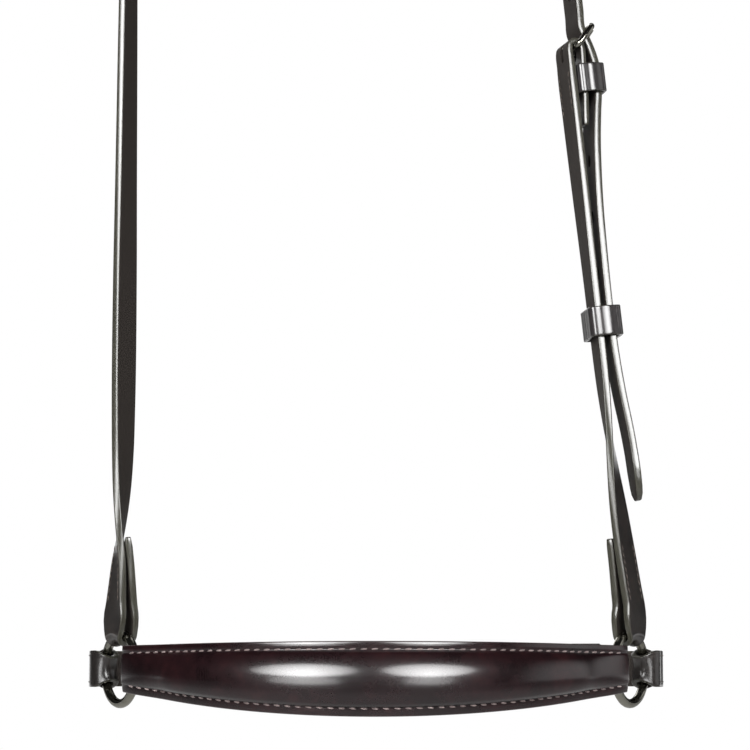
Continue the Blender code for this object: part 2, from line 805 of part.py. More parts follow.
def cover_outline(bottom, top, lift, crown_top):
    """Section (height, out) of the cover: thin margins, crowned middle, hollow back."""
    back = FACE_GAP + lift
    face = back + COVER_THICKNESS
    middle = (bottom + top) / 2
    reach = (top - bottom) / 2 - STITCH_MARGIN
    points = [(bottom + NOSE_EDGE, back), (bottom, (back + face) / 2), (bottom + NOSE_EDGE, face),
              (middle - reach, face)]
    points += [(middle + reach * share, face + crown_top * crown) for share, crown in CROWN_OUTER_SHARES]
    points += [(middle + reach, face), (top - NOSE_EDGE, face), (top, (back + face) / 2),
               (top - NOSE_EDGE, back)]
    points += [(middle + reach * share, back + crown_top * crown) for share, crown in CROWN_INNER_SHARES]
    return points


def nose_row(frame, outline):
    place, out = frame
    return [place + Z * height + out * depth for height, depth in outline]


def make_cover(material, collection, parent):
    rows = []
    for i in range(NOSE_STEPS + 1):
        angle = RING_TURN * (2 * i / NOSE_STEPS - 1)
        distance = (RING_TURN - abs(angle)) * NOSE_RADIUS
        lift = FLARE * (1 - ease(distance / FLARE_LENGTH))
        outline = cover_outline(*nose_edges(angle), lift, crown_height(angle))
        ends = (COVER_OVERLAP, COVER_OVERLAP / 2)
        if i == 0:
            rows += [nose_row(nose_frame(angle, overlap), outline) for overlap in ends]
        rows.append(nose_row(nose_frame(angle), outline))
        if i == NOSE_STEPS:
            rows += [nose_row(nose_frame(angle, overlap), outline) for overlap in reversed(ends)]
    return loft("nose_cover", rows, material, collection, NOSE, parent)


def make_padding(material, collection, parent):
    rows = []
    limit = RING_TURN - PADDING_INSET / NOSE_RADIUS
    steps = NOSE_STEPS - 8
    for i in range(steps + 1):
        angle = limit * (2 * i / steps - 1)
        bottom, top = nose_edges(angle)
        middle = (bottom + top) / 2
        reach = (top - bottom) / 2 - STITCH_MARGIN
        outline = [(middle + reach * share, FACE_GAP + crown_height(angle) * crown)
                   for share, crown in PADDING_SHARES]
        rows.append(nose_row(nose_frame(angle), outline))
    return loft("nose_padding", rows, material, collection, NOSE, parent)


def make_lining(material, collection, parent):
    rows = []
    limit = RING_TURN - LINING_INSET / NOSE_RADIUS
    steps = NOSE_STEPS - 3
    for i in range(steps + 1):
        angle = limit * (2 * i / steps - 1)
        bottom, top = nose_edges(angle)
        front = -FACE_GAP
        back = front - LINING_THICKNESS
        outline = [(bottom + NOSE_EDGE, back), (bottom, (back + front) / 2), (bottom + NOSE_EDGE, front),
                   (top - NOSE_EDGE, front), (top, (back + front) / 2), (top - NOSE_EDGE, back)]
        rows.append(nose_row(nose_frame(angle), outline))
    return loft("nose_lining", rows, material, collection, NOSE, parent)


def chape_bend(p):
    """How far the arc falls away from the straight line at the ring."""
    return max(p, 0) ** 2 / (2 * NOSE_RADIUS)


def make_chape(name, side, material, collection, parent):
    """Short loop round the ring's front wire, its ends inside the nosepiece."""
    turn = Turn(side, ring_front(side))
    inner = FACE_GAP + CHAPE_THICKNESS / 2 + FACE_GAP
    outer = inner + CHAPE_THICKNESS + PLY_GAP
    levels = (1, 0.8, 0.55, 0.3, 0.12)
    rows = []
    for share in levels:
        p = CHAPE_LENGTH * share
        q = -CHAPE_TURN + (inner + CHAPE_TURN) * ease(share / 0.8) - chape_bend(p)
        width = CHAPE_WIDTH + (CHAPE_END_WIDTH - CHAPE_WIDTH) * ease(share)
        rows.append(turn.row(p, q, (0, -1), width, CHAPE_THICKNESS))
    rows += turn.bight(CHAPE_TURN, CHAPE_WIDTH, CHAPE_THICKNESS)
    for share in reversed(levels):
        p = CHAPE_LENGTH * share
        q = CHAPE_TURN + (outer - CHAPE_TURN) * ease(share / 0.8) - chape_bend(p)
        width = CHAPE_WIDTH + (CHAPE_END_WIDTH - CHAPE_WIDTH) * ease(share)
        rows.append(turn.row(p, q, (0, 1), width, CHAPE_THICKNESS))
    return loft(name, rows, material, collection, NOSE, parent)


# Chin strap.

def chin_frame(side, distance):
    """Place, heading and outward direction on one half, from the ring's rear wire."""
    place = ring_centre(side) - ring_front(side) * RING_RADIUS
    angle = -CHIN_LEAN
    stretches = (
        (CHIN_START, math.inf), (chin_bend_length(), CHIN_BEND_RADIUS),
        (CHIN_STRAIGHT, math.inf), (math.inf, chin_middle_radius()),
    )
    left = distance
    for length, radius in stretches:
        step = min(left, length)
        if step <= 0:
            break
        left -= step
        if radius == math.inf:
            place += (Y * math.cos(angle) - X * (side * math.sin(angle))) * step
        else:
            end = angle + step / radius
            place += Y * (radius * (math.sin(end) - math.sin(angle)))
            place -= X * (side * radius * (math.cos(angle) - math.cos(end)))
            angle = end
    heading = Y * math.cos(angle) - X * (side * math.sin(angle))
    out = Vector((side * heading.y, -side * heading.x, 0))
    return place, heading, out


def chin_bend_length():
    return CHIN_BEND_RADIUS * (CHIN_BEND + CHIN_LEAN)


def chin_middle_radius():
    """Radius of the wide bend that brings both halves to the middle."""
    start = RING_SPACING / 2 + RING_RADIUS * math.cos(RING_TURN)
    left = (start + CHIN_START * math.sin(CHIN_LEAN)
            - CHIN_BEND_RADIUS * (math.cos(CHIN_LEAN) - math.cos(CHIN_BEND))
            - CHIN_STRAIGHT * math.sin(CHIN_BEND))
    return left / math.cos(CHIN_BEND)


def chin_half_length():
    return (CHIN_START + chin_bend_length() + CHIN_STRAIGHT
            + chin_middle_radius() * (math.pi / 2 - CHIN_BEND))


def chin_slack(distance):
    return TILT_TURN * (1 - min(max(distance / CHIN_SPREAD, 0), 1)) ** 2


def chin_ply_spacing(distance):
    share = min(max(distance / CHIN_TURNBACK, 0), 1)
    return CLOSED_PLIES + (2 * TILT_TURN - CLOSED_PLIES) * (1 - share) ** 1.6


def chin_ring_rows(side):
    """From the turned-back end, round the ring's rear wire, to TURN_SETTLE."""
    turn = Turn(side, -ring_front(side), RING_TURN + CHIN_LEAN - math.pi / 2)
    rows = []
    for share in (1, 0.85, 0.6):
        distance = CHIN_TURNBACK * share
        place, heading, out = chin_frame(side, distance)
        centre = place + out * (chin_slack(distance) - chin_ply_spacing(distance))
        thickness = TURNBACK_THICKNESS * (TURNBACK_END_SHARE if share == 1 else 1)
        rows.append(strap_row(centre, -out, heading.cross(out), STRAP_WIDTH, thickness))
    levels = [TURN_SETTLE * share for share in (1, 0.7, 0.4, 0.15)]
    for p in levels:
        q = chin_slack(p) - chin_ply_spacing(p)
        width = widened(p, CHIN_TURN_WIDTH)
        rows.append(turn.row(p, q, (0, -1), width, thickened(p, TURN_THICKNESS, TURNBACK_THICKNESS)))
    rows += turn.bight(TILT_TURN, CHIN_TURN_WIDTH, TURN_THICKNESS)
    for p in reversed(levels):
        width = widened(p, CHIN_TURN_WIDTH)
        rows.append(turn.row(p, chin_slack(p), (0, 1), width, thickened(p)))
    return rows


def chin_row(side, distance, offset):
    place, heading, out = chin_frame(side, distance)
    return strap_row(place + out * offset, out, heading.cross(out))


def chin_seat():
    place, heading, out = chin_frame(NEAR, CHIN_BUCKLE_PLACE)
    return Seat(place + out * (BAR_TURN + chin_slack(CHIN_BUCKLE_PLACE)), heading, out)


def chin_billet_offset(distance):
    """Offset of the chin strap's billet from the buckle strap's centre."""
    close = STRAP_THICKNESS + PLY_GAP + chin_slack(distance)
    top = CHIN_BUCKLE_PLACE - FIXED_KEEPER_DROP - FIXED_KEEPER_LENGTH
    bottom = CHIN_BUCKLE_PLACE - CHIN_BUCKLE_TURNBACK - TIP_LENGTH
    share = ease((distance - bottom) / (top - bottom))
    return close + (keeper_spacing() - close) * share


def make_chin_buckle_strap(material, collection, cutters, parent):
    rows = chin_ring_rows(NEAR)
    for distance in np.linspace(TURN_SETTLE, CHIN_BUCKLE_PLACE - TURN_SETTLE, 12)[1:-1]:
        rows.append(chin_row(NEAR, float(distance), chin_slack(float(distance))))
    seat = chin_seat()
    rows += [turned(row) for row in bar_end_rows(seat, CHIN_BUCKLE_TURNBACK)]
    strap = loft("chin_buckle_strap", rows, material, collection, NOSE, parent)
    cut_tongue_slot(strap, seat, cutters)
    return strap


def make_chin_strap(material, collection, cutters, parent):
    rows = chin_ring_rows(OFF)
    half = chin_half_length()
    shift = BAR_TURN + TOP_SPACING
    for distance in np.linspace(TURN_SETTLE, half, 20)[1:]:
        offset = chin_slack(float(distance)) + shift * ease(float(distance) / half)
        rows.append(chin_row(OFF, float(distance), offset))
    seat = chin_seat()
    crossing = crossing_places(seat)
    above = CHIN_BUCKLE_PLACE + BUCKLE_LENGTH * 1.9
    for distance in np.linspace(half, above, 5)[1:-1]:
        place, heading, out = chin_frame(NEAR, float(distance))
        rows.append(strap_row(place + out * shift, out, out.cross(heading)))
    top = CHIN_BUCKLE_PLACE - FIXED_KEEPER_DROP
    place, heading, out = chin_frame(NEAR, top)
    crossing.append(place + out * keeper_spacing())
    plain = [(STRAP_WIDTH, STRAP_THICKNESS)] * len(crossing)
    rows += path_rows(crossing, -seat.across, plain)
    for distance in np.linspace(top, CHIN_BILLET_END + TIP_LENGTH, 11)[1:]:
        rows.append(billet_row(float(distance), (STRAP_WIDTH, STRAP_THICKNESS)))
    for share in (0.66, 0.38, 0.15, 0):
        rows.append(billet_row(CHIN_BILLET_END + TIP_LENGTH * share, tip_size(TIP_LENGTH * share)))
    strap = loft("chin_strap", rows, material, collection, NOSE, parent)
    square = seat.out * math.cos(CROSSING_TILT) + seat.along * math.sin(CROSSING_TILT)
    up = seat.along * math.cos(CROSSING_TILT) - seat.out * math.sin(CROSSING_TILT)
    cut_hole(strap, 0, hole_place(seat), up, square, cutters)
    for i in (1, 2):
        distance = CHIN_BUCKLE_PLACE - HOLE_PITCH * i
        place, heading, out = chin_frame(NEAR, distance)
        cut_hole(strap, i, place + out * chin_billet_offset(distance), heading, out, cutters)
        distance = CHIN_BUCKLE_PLACE + HOLE_PITCH * i
        place, heading, out = chin_frame(NEAR, distance)
        cut_hole(strap, i + 2, place + out * shift, heading, out, cutters)
    return strap


def billet_row(distance, size):
    place, heading, out = chin_frame(NEAR, distance)
    centre = place + out * chin_billet_offset(distance)
    return strap_row(centre, out, out.cross(heading), *size)


# Rings.

def make_ring(name, side, material, collection):
    bpy.ops.mesh.primitive_torus_add(
        major_radius=RING_RADIUS, minor_radius=RING_WIRE / 2, major_segments=36, minor_segments=10)
    item = bpy.context.object
    item.name = name
    for holder in list(item.users_collection):
        holder.objects.unlink(item)
    collection.objects.link(item)
    item.data.materials.append(material)
    item.data.shade_smooth()
    front = ring_front(side)
    outward = ring_outward(side)
    set_frame(item, axes_matrix(ring_centre(side), front, outward.cross(front), outward))
    return item


def main():
    clear_scene()
    parts = new_collection("drop_noseband")
    cutters = new_collection("cutters")
    leather = make_material("bridle_leather", (0.030, 0.017, 0.013), 0.38, 0)
    nose_leather = make_material("nosepiece_leather", (0.045, 0.016, 0.012), 0.3, 0)
    lining_leather = make_material("lining_leather", (0.10, 0.055, 0.035), 0.55, 0)
    felt = make_material("padding_felt", (0.30, 0.27, 0.22), 0.9, 0)
    steel = make_material("polished_steel", (0.60, 0.58, 0.54), 0.2, 1)

    make_head_strap(leather, parts, cutters)
    make_cheek_strap(leather, parts, cutters)
    seat = head_seat()
    make_buckle("head_buckle", seat, steel, parts)
    make_tongue("head_tongue", seat, steel, parts)
    make_fixed_keeper("head_fixed_keeper", seat, leather, parts)
    along, out = side_axes(NEAR, side_twist(NEAR, RUNNER_HEIGHT))
    runner_seat = Seat(side_place(NEAR, RUNNER_HEIGHT), along, out)
    make_runner("head_runner", runner_seat, billet_spacing(RUNNER_HEIGHT), leather, parts)

    make_ring("off_ring", OFF, steel, parts)
    make_ring("near_ring", NEAR, steel, parts)

    nosepiece = joint_empty("nosepiece_hinge", NOSE, parts)
    make_cover(nose_leather, parts, nosepiece)
    make_padding(felt, parts, nosepiece)
    make_lining(lining_leather, parts, nosepiece)
    make_chape("off_chape", OFF, nose_leather, parts, nosepiece)
    make_chape("near_chape", NEAR, nose_leather, parts, nosepiece)

    chin = joint_empty("chin_strap_hinge", NOSE, parts)
    make_chin_strap(leather, parts, cutters, chin)
    make_chin_buckle_strap(leather, parts, cutters, chin)
    seat = chin_seat()
    make_buckle("chin_buckle", seat, steel, parts, chin)
    make_tongue("chin_tongue", seat, steel, parts, chin)
    make_fixed_keeper("chin_fixed_keeper", seat, leather, parts, chin)
    place, heading, out = chin_frame(NEAR, CHIN_RUNNER_PLACE)
    runner_seat = Seat(place, heading, out)
    spacing = chin_billet_offset(CHIN_RUNNER_PLACE)
    make_runner("chin_runner", runner_seat, spacing, leather, parts, chin)


main()
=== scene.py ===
"""Drop noseband of a riding bridle, dressed over its frame, in metres.

Each leather piece is cut flat, its edges rounded and its holes punched, and is then laid along
its path.
"""

import math

import bpy
import numpy as np
from mathutils import Matrix, Vector


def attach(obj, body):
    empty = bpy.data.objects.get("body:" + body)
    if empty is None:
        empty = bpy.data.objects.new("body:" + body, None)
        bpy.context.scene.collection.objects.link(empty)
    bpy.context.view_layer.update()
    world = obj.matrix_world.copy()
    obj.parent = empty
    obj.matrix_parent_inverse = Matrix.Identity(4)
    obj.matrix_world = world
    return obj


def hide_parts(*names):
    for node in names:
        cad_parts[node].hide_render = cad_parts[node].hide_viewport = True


MM = 0.001
NEAR = 1
OFF = -1
TOP = 1
BOTTOM = -1
GRAIN = 1
FLESH = -1

# Sizes, as in the frame. The rings' level is in millimetres, as the paths are.
STRAP_WIDTH = 16 * MM
STRAP_THICKNESS = 3.2 * MM
STRAP_EDGE = 0.55 * MM
HOLE_WIDTH = 3.2 * MM
HOLE_LENGTH = 5.6 * MM
SLOT_WIDTH = 3.0 * MM
SLOT_LENGTH = 20 * MM
CHAPE_WIDTH = 9.8 * MM
CHAPE_THICKNESS = 1.3 * MM
CHAPE_EDGE = 0.35 * MM
KEEPER_EDGE = 0.4 * MM
KEEPER_CORNER = 1.0 * MM
KEEPER_FACE_BOW = 0.6 * MM
KEEPER_SIDE_BOW = 1.1 * MM
SHARPEST_TURN = math.radians(9)

RING_SPACING = 222.5 * MM
RING_RADIUS = 15.15 * MM
RING_WIRE = 4 * MM
RING_TURN = math.radians(58)
RING_LEVEL = -451
NOSE = Vector((14.802, 0, RING_LEVEL)) * MM

BUCKLE_LENGTH = 11.959 * MM
BUCKLE_WIDTH = 20.8 * MM
BUCKLE_WIRE = 2.8 * MM
BUCKLE_CORNER = 2.4 * MM
TONGUE_WIRE = 2.0 * MM
TONGUE_HOOK = math.radians(235)
TONGUE_CLEARANCE = 0.3 * MM
TONGUE_OVERHANG = 1.4 * MM

# Sizes of the nosepiece; heights are counted from the rings' middles.
NOSE_TOP_MIDDLE = 11.3 * MM
NOSE_TOP_END = 9.9 * MM
NOSE_BOTTOM_MIDDLE = 19.5 * MM
NOSE_BOTTOM_END = 10.1 * MM
COVER_THICKNESS = 1.8 * MM
COVER_EDGE = 0.4 * MM
COVER_OVERLAP = 0.8 * MM
LINING_THICKNESS = 1.8 * MM
LINING_EDGE = 0.5 * MM
LINING_INSET = 12.8 * MM
PADDING_INSET = 18 * MM
PADDING_HEIGHT_SHARE = 0.84
PADDING_DEPTH_SHARE = 0.86
PADDING_FULLNESS = 2.4
FACE_GAP = 0.15 * MM
STITCH_LINE = 3.3 * MM
STITCH_MARGIN = 3.6 * MM
CROWN_HEIGHT = 4.6 * MM
CROWN_TAPER_LENGTH = 34 * MM
CROWN_END_SHARE = 0.12
CROWN_DROP = 0.24
CROWN_FULLNESS = 2.6
BACK_CROWN_FULLNESS = 3.2
BACK_CROWN_SHARE = 0.93
FLARE = 4.55 * MM
FLARE_LENGTH = 26 * MM
TOP_GROOVE = 0.28 * MM
BOTTOM_GROOVE = 0.06 * MM
GROOVE_WIDTH = 0.42 * MM
RIM_DROP = 0.14 * MM
RIM_ROUNDING = 1.3 * MM
BOTTOM_THINNING = 0.13
NOSE_RADIUS = (RING_SPACING / 2 - RING_RADIUS * math.cos(RING_TURN)) / math.sin(RING_TURN)
NOSE_ARC_Y = -RING_RADIUS * math.sin(RING_TURN) + NOSE_RADIUS * math.cos(RING_TURN)
NOSE_REACH = NOSE_RADIUS * RING_TURN

# Before it is bent, the cover is a flat piece with this half width and these margins.
FLAT_HALF = 13 * MM
MARGIN = 5 * MM

# Thread.
STITCH_SIZE = (2.5 * MM, 0.62 * MM, 0.5 * MM)
STITCH_LEAN = math.radians(7)
SEAM_PITCH = 3.1 * MM
SEAM_INSET = 2.2 * MM
NOSE_STITCH_SIZE = (2.7 * MM, 0.8 * MM, 0.6 * MM)
NOSE_STITCH_LIFT = 0.08 * MM
NOSE_SEAM_PITCH = 4.5 * MM
NOSE_SEAM_INSET = 2.2 * MM

# Paths of the straps and chapes in millimetres. A row is the middle of the leather, half its width
# across, its thickness and, where it curves round a ring, how far its edges stand back. What a row
# leaves out is as in a plain strap.
PLAIN_STRAP = (3.2, 0, 0, 0)

HEAD_STRAP_PATH = (
    (-93.86, -0.19, -393.85, 0.78, -7.96, 0, 2.4), (-93.94, -0.04, -396.85, 1.27, -7.9, 0, 3),
    (-94.04, 0.33, -403.45, 2.31, -7.66, 0, 3), (-93.94, 0.92, -417.25, 3.45, -7.22, 0, 3),
    (-93.89, 1.36, -423.85, 3.99, -6.94, 0, 3),
    (-93.86, 1.62, -427.45, 4.55, -7.28, 0, 2.87, 0, 0, -0.14),
    (-93.7, 1.72, -431.05, 4.49, -7.19, 0, 2.61, 0, 0, -0.94),
    (-93.57, 1.8, -434.05, 3.89, -6.23, 0, 2.44, 0, 0, -1.5),
    (-93.48, 1.85, -435.85, 3.46, -5.54, 0, 2.4, 0, 0, -1.48),
    (-93.88, 1.61, -437.6, 3.06, -4.89, 0, 2.4, 0, -0.01, -1.31),
    (-94.96, 0.93, -438.88, 2.77, -4.43, 0, 2.4, -0.01, 0, -1.18),
    (-96.45, 0, -439.35, 2.66, -4.26, 0, 2.4, 0, 0, -1.14),
    (-97.93, -0.93, -438.88, 2.77, -4.43, 0, 2.4, 0, 0, -1.18),
    (-99.02, -1.61, -437.6, 3.06, -4.89, 0, 2.4, 0, 0.01, -1.31),
    (-99.42, -1.85, -435.85, 3.46, -5.54, 0, 2.4, 0, 0, -1.48),
    (-99.3, -1.78, -434.05, 3.89, -6.23, 0, 2.45, 0, 0, -1.5),
    (-99.11, -1.66, -431.05, 4.49, -7.18, 0, 2.68, 0, -0.01, -0.94),
    (-98.89, -1.52, -427.45, 4.55, -7.28, 0, 3.03, 0, -0.01, -0.14),
    (-98.68, -1.39, -423.85, 3.99, -6.94, 0), (-98.32, -1.17, -417.25, 3.45, -7.22, 0),
    (-97.66, -0.76, -403.45, 2.32, -7.66, 0), (-97.29, -0.53, -393.85, 0.78, -7.96, 0),
    (-96.75, -0.19, -374.41, -1.69, -7.82, 0), (-96.48, -0.02, -354.97, -2.86, -7.47, 0),
    (-96.45, 0, -335.54, -3.3, -7.29, 0), (-96.45, 0, -277.22, -3.38, -7.25, 0),
    (-96.45, 0, -238.35, -2.95, -7.44, 0), (-96.45, 0, -160.6, -2.21, -7.69, 0),
    (-96.45, 0, -121.72, -1.73, -7.81, 0), (-96.45, 0, -102.29, -1.37, -7.88, 0),
    (-96.45, 0, -82.85, -1.04, -7.93, 0), (-95.16, 0, -68.18, -0.79, -7.96, 0.14),
    (-85.13, 0, -40.62, -0.4, -7.99, 0.23), (-76.69, 0, -28.57, -0.25, -7.99, 0.21),
    (-54.22, 0, -9.71, -0.07, -8, 0.11), (-40.88, 0, -3.49, -0.02, -8, 0.05),
    (-26.66, 0, 0.32, -0.01, -8, 0.02), (-12, 0, 1.6, 0, -8, 0), (12, 0, 1.6, 0, -8, 0),
    (25.7, 0.07, 0.48, 0, -8, 0.02), (51.65, 0.49, -8.28, 0.07, -8, 0.13, 3.19),
    (63.21, 0.79, -15.7, 0.17, -7.99, 0.21), (82.01, 1.41, -35.63, 0.48, -7.98, 0.33),
    (93.44, 1.84, -60.52, 0.93, -7.94, 0.26), (95.99, 1.9, -74.02, 1.17, -7.92, 0.12),
    (98.67, 1.9, -99.66, 1.57, -7.85, 0.16), (104.12, 1.9, -151.71, 2.2, -7.69, 0.23),
    (104.74, 1.9, -157.66, 2.2, -7.69, 0.23), (105.64, 1.89, -166.62, 2.2, -7.69, 0.23),
    (107.14, 2.22, -169.87, 2.2, -7.69, 0.23), (108.88, 2.6, -173.65, 2.19, -7.68, 0.23),
    (111.67, 2.96, -182.05, 2.2, -7.69, 0.23, 3.19), (112.82, 2.97, -193.64, 2.09, -7.71, 0.22),
    (112.37, 2.48, -205.4, 2.07, -7.73, 0.22), (112.15, 1.99, -217.13, 1.97, -7.75, 0.21),
    (112.43, 1.62, -228.81, 1.83, -7.79, 0.19), (113.7, 1.12, -252.1, 1.54, -7.85, 0.16),
    (114.7, 0.97, -263.7, 1.39, -7.88, 0.15), (118.22, 0.69, -298.46, 1.02, -7.93, 0.1),
    (119.69, 0.67, -310.01, 0.95, -7.94, 0.1), (123.56, 0.73, -333.02, 0.82, -7.96, 0.09),
    (125.92, 0.78, -344.48, 0.76, -7.96, 0.07), (127.91, 0.74, -355.99, 0.69, -7.97, 0.07),
    (129.49, 0.59, -367.55, 0.62, -7.97, 0.06), (130.26, 0.48, -373.75, 0.48, -6.69, 0.05, 2.98),
    (130.54, 0.43, -376.05, 0.37, -5.14, 0.04, 2.72), (130.73, 0.39, -377.55, 0.14, -2, 0.02, 2.2),
)

CHEEK_STRAP_PATH = (
    (120.71, 1.09, -394.17, 3.73, 7.07, 0.39, 2.4), (121.11, 1.08, -397.17, 3.81, 7.02, 0.4, 3),
    (121.86, 1.12, -403.79, 3.95, 6.94, 0.41, 3), (123.11, 1.34, -417.68, 4.13, 6.84, 0.44, 3),
    (123.62, 1.53, -424.34, 4.22, 6.79, 0.44, 3),
    (123.46, 1.62, -427.45, 4.55, 7.28, 0, 2.87, 0, 0, -0.14),
    (123.31, 1.72, -431.05, 4.49, 7.19, 0, 2.61, 0, 0, -0.94),
    (123.17, 1.8, -434.05, 3.89, 6.23, 0, 2.44, 0, 0, -1.5),
    (123.08, 1.85, -435.85, 3.46, 5.54, 0, 2.4, 0, 0, -1.48),
    (123.48, 1.61, -437.6, 3.06, 4.89, 0, 2.4, 0, -0.01, -1.31),
    (124.57, 0.93, -438.88, 2.77, 4.43, 0, 2.4, 0, 0, -1.18),
    (126.05, 0, -439.35, 2.66, 4.26, 0, 2.4, 0, 0, -1.14),
    (127.54, -0.93, -438.88, 2.77, 4.43, 0, 2.4, -0.01, 0, -1.18),
    (128.62, -1.61, -437.6, 3.06, 4.89, 0, 2.4, 0, 0.01, -1.31),
    (129.02, -1.85, -435.85, 3.46, 5.54, 0, 2.4, 0, 0, -1.48),
    (128.9, -1.78, -434.05, 3.9, 6.23, 0, 2.45, 0, 0, -1.5),
    (128.71, -1.66, -431.05, 4.49, 7.18, 0, 2.68, 0, -0.01, -0.94),
    (128.49, -1.52, -427.45, 4.55, 7.28, 0, 3.03, 0, -0.01, -0.14),
    (128.28, -1.39, -423.85, 4.22, 6.79, 0.44), (127.23, -1.17, -417.25, 4.12, 6.84, 0.43),
    (124.17, -0.6, -396.85, 3.81, 7.03, 0.4), (121.6, -0.24, -377.94, 3.05, 7.39, 0.32),
    (119.65, -0.06, -362.03, 1.78, 7.8, 0.19), (117.88, 0, -346.12, 0.43, 7.99, 0.05),
    (116.21, 0, -330.2, -0.53, 7.98, -0.06), (112.86, 0, -298.38, -1.07, 7.93, -0.11),
    (111.19, 0, -282.47, -1.16, 7.91, -0.12), (106.18, 0, -234.73, -1.77, 7.8, -0.18),
    (102.83, 0, -202.91, -2.09, 7.72, -0.22), (101.15, 0, -186.93, -2.2, 7.69, -0.23),
    (100.52, 0, -180.97, -2.2, 7.69, -0.23, 2.8), (99.9, 0, -175, -2.2, 7.69, -0.23, 2.4),
    (100.04, 0.08, -173.72, -2.2, 7.69, -0.23, 2.41),
    (101.76, 0.62, -171.96, -2.2, 7.69, -0.23, 2.4),
    (102.99, 0.98, -171.83, -2.2, 7.69, -0.23, 2.4),
    (105.04, 1.52, -173.19, -2.2, 7.69, -0.23, 2.4), (105.44, 1.6, -174.42, -2.2, 7.69, -0.23, 2.4),
    (106.1, 1.57, -181.59, -2.2, 7.69, -0.23, 2.4), (106.97, 1.28, -199.59, -2.2, 7.69, -0.23, 2.4),
    (107.01, 1.08, -206.83, -2.2, 7.69, -0.23, 2.4),
    (106.96, 0.95, -210.46, -2.2, 7.69, -0.23, 1.92),
)

# Paths that run level with the rings have shorter rows: x, y, thickness, half the width, how far
# the edges stand back in x and y, and how far the upper edge leans to the back.
PLAIN_LEVEL_STRAP = (3.2, 8, 0, 0, 0)


def level(side, rows):
    """Full rows of a level path; side is 1 where its across runs up and -1 where it runs down."""
    full = [row + PLAIN_LEVEL_STRAP[len(row) - 2:] for row in rows]
    return [(x, y, RING_LEVEL, 0, side * lean, side * half, thickness, back_x, back_y, 0)
            for x, y, thickness, half, back_x, back_y, lean in full]


CHIN_STRAP_PATH = level(1, (
    (-104, 36.14, 2.4), (-105.6, 33.02, 3), (-106.3, 27.3, 3), (-106.9, 24.54, 3),
    (-105.3, 21.61, 2.88, 8.75, 0.08, -0.12), (-103.9, 18.72, 2.61, 8.97, 0.56, -0.9),
    (-102.03, 16.34, 2.44, 7.99, 0.96, -1.52), (-100.88, 14.92, 2.4, 7.13, 0.95, -1.52),
    (-100.33, 12.85, 2.4, 6.15, 0.83, -1.32), (-100.88, 10.77, 2.4, 5.46, 0.73, -1.17),
    (-102.41, 9, 2.4, 5.3, 0.7, -1.1), (-104.7, 8.2, 2.4, 6.2, 0.25, -0.35, 0.15),
    (-107.3, 8.7, 2.4, 7.8, -0.15, 0.3, 0.5), (-109.1, 10.3, 2.4, 8, -0.1, 0.15, 0.3),
    (-109.9, 12.5, 2.45), (-110.2, 15.3, 2.68), (-110.6, 18.6, 3.02), (-111, 21.9), (-109.5, 31.2),
    (-106.8, 38.7), (-102.02, 44.69), (-94.75, 48.01), (-87.58, 50.11), (-66.27, 57.16),
    (-52.1, 61.99), (-30.82, 69.13), (-23.58, 71.44), (-0.76, 76.19, 3.21), (30.02, 76.4),
    (37.59, 75.51), (45.69, 74.54), (51.46, 72.99), (60.16, 70.62), (63.73, 70.89), (67.91, 71.21),
    (76.67, 70.67), (81.28, 69.43), (85.9, 68.2), (90.5, 66.89), (94.78, 64.41), (102.85, 57.59),
    (107.07, 54.86), (111.63, 53.43), (116.27, 52.26), (120.92, 51.15), (124.24, 50.39, 3.14, 7.64),
    (127.27, 49.61, 2.99, 6.71), (129.86, 48.64, 2.72, 5.16), (131.49, 47.84, 2.2, 2),
))

CHIN_BUCKLE_STRAP_PATH = level(-1, (
    (134, 36.14, 2.4), (135.6, 33.02, 3), (136.3, 27.3, 3), (137.2, 24.54, 3),
    (135.3, 21.61, 2.88, 8.75, -0.08, -0.12), (133.5, 18.72, 2.61, 8.97, -0.56, -0.9),
    (131.63, 16.34, 2.44, 7.99, -0.95, -1.52), (130.49, 14.92, 2.4, 7.13, -0.96, -1.52),
    (129.93, 12.85, 2.4, 6.15, -0.82, -1.32), (130.49, 10.77, 2.4, 5.46, -0.73, -1.17),
    (132.01, 9, 2.4, 5.3, -0.7, -1.1), (134.3, 8.2, 2.4, 6.2, -0.25, -0.35, 0.15),
    (137.4, 8.5, 2.4, 7.8, 0.15, 0.3, 0.5), (139.1, 10.1, 2.4, 8, 0.1, 0.15, 0.3),
    (139.7, 12.5, 2.45), (140.1, 15.3, 2.68), (140.9, 18.6, 3.02), (141.6, 21.9), (140, 31.2),
    (137.38, 38.07), (132.1, 43.32), (125.52, 46.44), (118.59, 48.05), (104.84, 51.55),
    (84.29, 57.05), (77.44, 58.89), (71.65, 60.44, 2.79), (65.85, 61.99, 2.4), (64.71, 62.6, 2.4),
    (63.7, 64.9, 2.4), (64.04, 66.15, 2.4), (66.06, 67.64, 2.4), (67.35, 67.6, 2.4),
    (73.9, 65.75, 2.4), (90.04, 60.32, 2.4), (96.42, 57.84, 2.4), (99.59, 56.53, 1.92),
))

